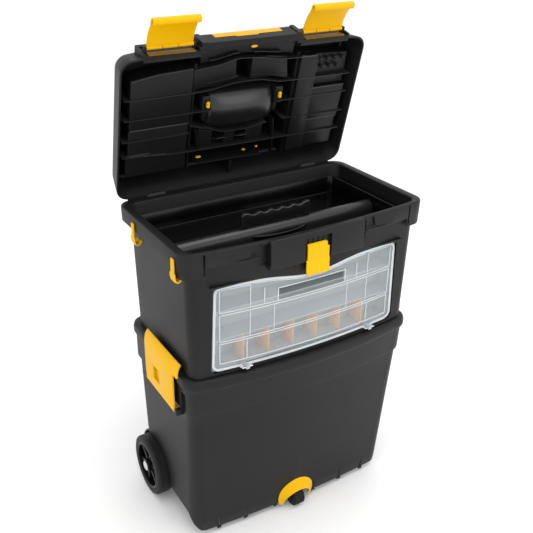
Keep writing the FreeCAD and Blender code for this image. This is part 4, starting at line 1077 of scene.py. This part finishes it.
# A darker yellow spot in the lock tab: painted shade, standing for a yellow part in shadow seen through
# a hole.
eye_shape = [(1 + 6 * math.cos(math.radians(a)), HINGE[0] - 251 + 2 * math.sin(math.radians(a)))
             for a in range(0, 360, 20)]
eye = prism("lock_eye", eye_shape, "z", HINGE[1] + 0.2, HINGE[1] + 1)
piece(move(eye, TO_LID), "lid", SHADED_AMBER, "yellow_plastic")
# Dark yellow strips in the latch gaps: painted shade, standing for the shaded yellow beneath the latch
# knuckles.
shade_strips = [soft_block("shade_strip", sided(sign, 101, 179), (-128.8, -127.4), (578.6, 590), 0.3)
         for sign in SIGNS]
piece(move(join("latch_shade_strips", shade_strips), TO_LID), "lid", SHADED_YELLOW, "yellow_plastic")
fillers = [block("filler", xs, (123.4, 126.2), (577.4, 582))
           for xs in ((-205, -170), (-138, 138), (170, 205))]
piece(move(join("hinge_lip", fillers), TO_LID), "lid", BLACK, "black_plastic")

for side, sign in SIDES:
    xs = sided(sign, 101, 179)
    path = [(-135.6, 592), (-137.4, 584), (-138.8, 575), (-138.8, 566), (-137.8, 557),
            (-136.8, 550), (-137.2, 544)]
    plate = strip("plate", path, "x", *xs, 2.4)
    lip_path = [(-137.2, 547), (-137.8, 541), (-136, 538.2), (-131.8, 537.8), (-129.6, 539.4),
                (-129, 543), (-129.2, 545.6)]
    lip = strip("lip", lip_path, "x", *xs, 2.4)
    bevel(plate, 0.7, 2, 50)
    bevel(lip, 0.7, 2, 50)
    parts = [plate, lip]
    for start, end in ((101, 126), (127.4, 152.6), (154, 179)):
        parts.append(tube("knuckle", (sign * start, sign * end), 1.56, 3.3, "x", LATCH_AXIS, 24, 40))
    latch = move(join("lid_latch_skin_" + side, parts, 40), TO_LATCH)
    piece(latch, "lid_latch_" + side, YELLOW, "yellow_plastic", "lid_latch_" + side)

ears = []
for sign in SIGNS:
    for start, end in ((96, 100.6), (179.4, 184)):
        xs = sided(sign, start, end)
        ears.append(soft_block("ear", xs, (-138.4, -124), (587.6, 596.4), 1.4))
lid_piece("latch_ears", ears, BLACK)

lugs = []
for sign in SIGNS:
    for start, end in ((60.6, 64.6), (71, 75)):
        xs = sided(sign, start, end)
        lugs.append(soft_block("ear", xs, (-36.2, -27.8), (625, 634.2), 1.4))
    lugs.append(tube("knuckle", (sign * 148.3, sign * 159.7), 2.06, 4.9, "x", HINGE, 24, 35))
    lugs.append(block("web", sided(sign, 148.3, 159.7), (119.6, 123.6), (578.5, 592)))
lid_piece("lid_lugs", lugs, BLACK)

carry_bits = [bevel(block("bar", (-70.4, 70.4), (-52, -40), (627, 634)), 2.4, 4, 50)]
for sign in SIGNS:
    arm = [(-50, 627.2), (-50, 634)] + arc_points(CARRY_AXIS, 3.5, 90, -90, 8)
    arm_piece = prism("arm", arm, "x", *sided(sign, 65.2, 70.4))
    arm_piece = combine(arm_piece, [tube("eye", (-80, 80), 0.01, 2.05, "x", CARRY_AXIS, 20)])
    carry_bits.append(bevel(arm_piece, 0.6, 2, 50))
carry = move(join("carry_handle_skin", carry_bits, 40), TO_LID)
piece(carry, "carry_handle", BLACK, "black_plastic", "carry_handle")

# ------------------------------------------------------------------ floor, light, camera

floor_mesh = bpy.data.meshes.new("floor")
floor_mesh.from_pydata([(-6, -6, 0), (6, -6, 0), (6, 6, 0), (-6, 6, 0)], [], [(0, 1, 2, 3)])
floor = bpy.data.objects.new("floor", floor_mesh)
bpy.context.scene.collection.objects.link(floor)
floor_paint, _, _, floor_shader = new_material("pale_floor")
floor_shader.inputs["Base Color"].default_value = (0.97, 0.97, 0.97, 1)
floor_shader.inputs["Roughness"].default_value = 0.8
floor_mesh.materials.append(floor_paint)

world = bpy.data.worlds.new("studio")
bpy.context.scene.world = world
world.use_nodes = True
sky = world.node_tree.nodes["Background"]
sky.inputs["Color"].default_value = (1, 1, 1, 1)
sky.inputs["Strength"].default_value = 1.05


def area_light(name, place, target, size, power):
    data = bpy.data.lights.new(name, "AREA")
    data.shape = "RECTANGLE"
    data.size, data.size_y = size
    data.energy = power
    lamp = bpy.data.objects.new(name, data)
    bpy.context.scene.collection.objects.link(lamp)
    lamp.location = place
    lamp.rotation_euler = (Vector(target) - Vector(place)).to_track_quat("-Z", "Y").to_euler()


area_light("left_soft", (-2.2, -0.6, 1.3), (0, 0, 0.4), (1.6, 2.0), 4)
area_light("top_soft", (0.2, -0.5, 2.6), (0, 0, 0.5), (2.0, 1.6), 20)
area_light("front_soft", (1.0, -2.6, 1.2), (0, 0, 0.4), (1.8, 1.8), 14)

bpy.context.scene.view_settings.view_transform = "Standard"

camera_data = bpy.data.cameras.new("camera")
camera_data.lens = 50.16
camera_data.sensor_width = 36
camera_data.shift_x = 0.0672
camera_data.shift_y = -0.0178
camera = bpy.data.objects.new("camera", camera_data)
bpy.context.scene.collection.objects.link(camera)
camera.matrix_world = (
    Matrix.Translation((-0.614, -0.979, 1.029))
    @ Matrix.Rotation(math.radians(-28.69), 4, "Z")
    @ Matrix.Rotation(math.radians(90 - 25.73), 4, "X")
    @ Matrix.Rotation(math.radians(-0.53), 4, "Z"))
bpy.context.scene.camera = camera
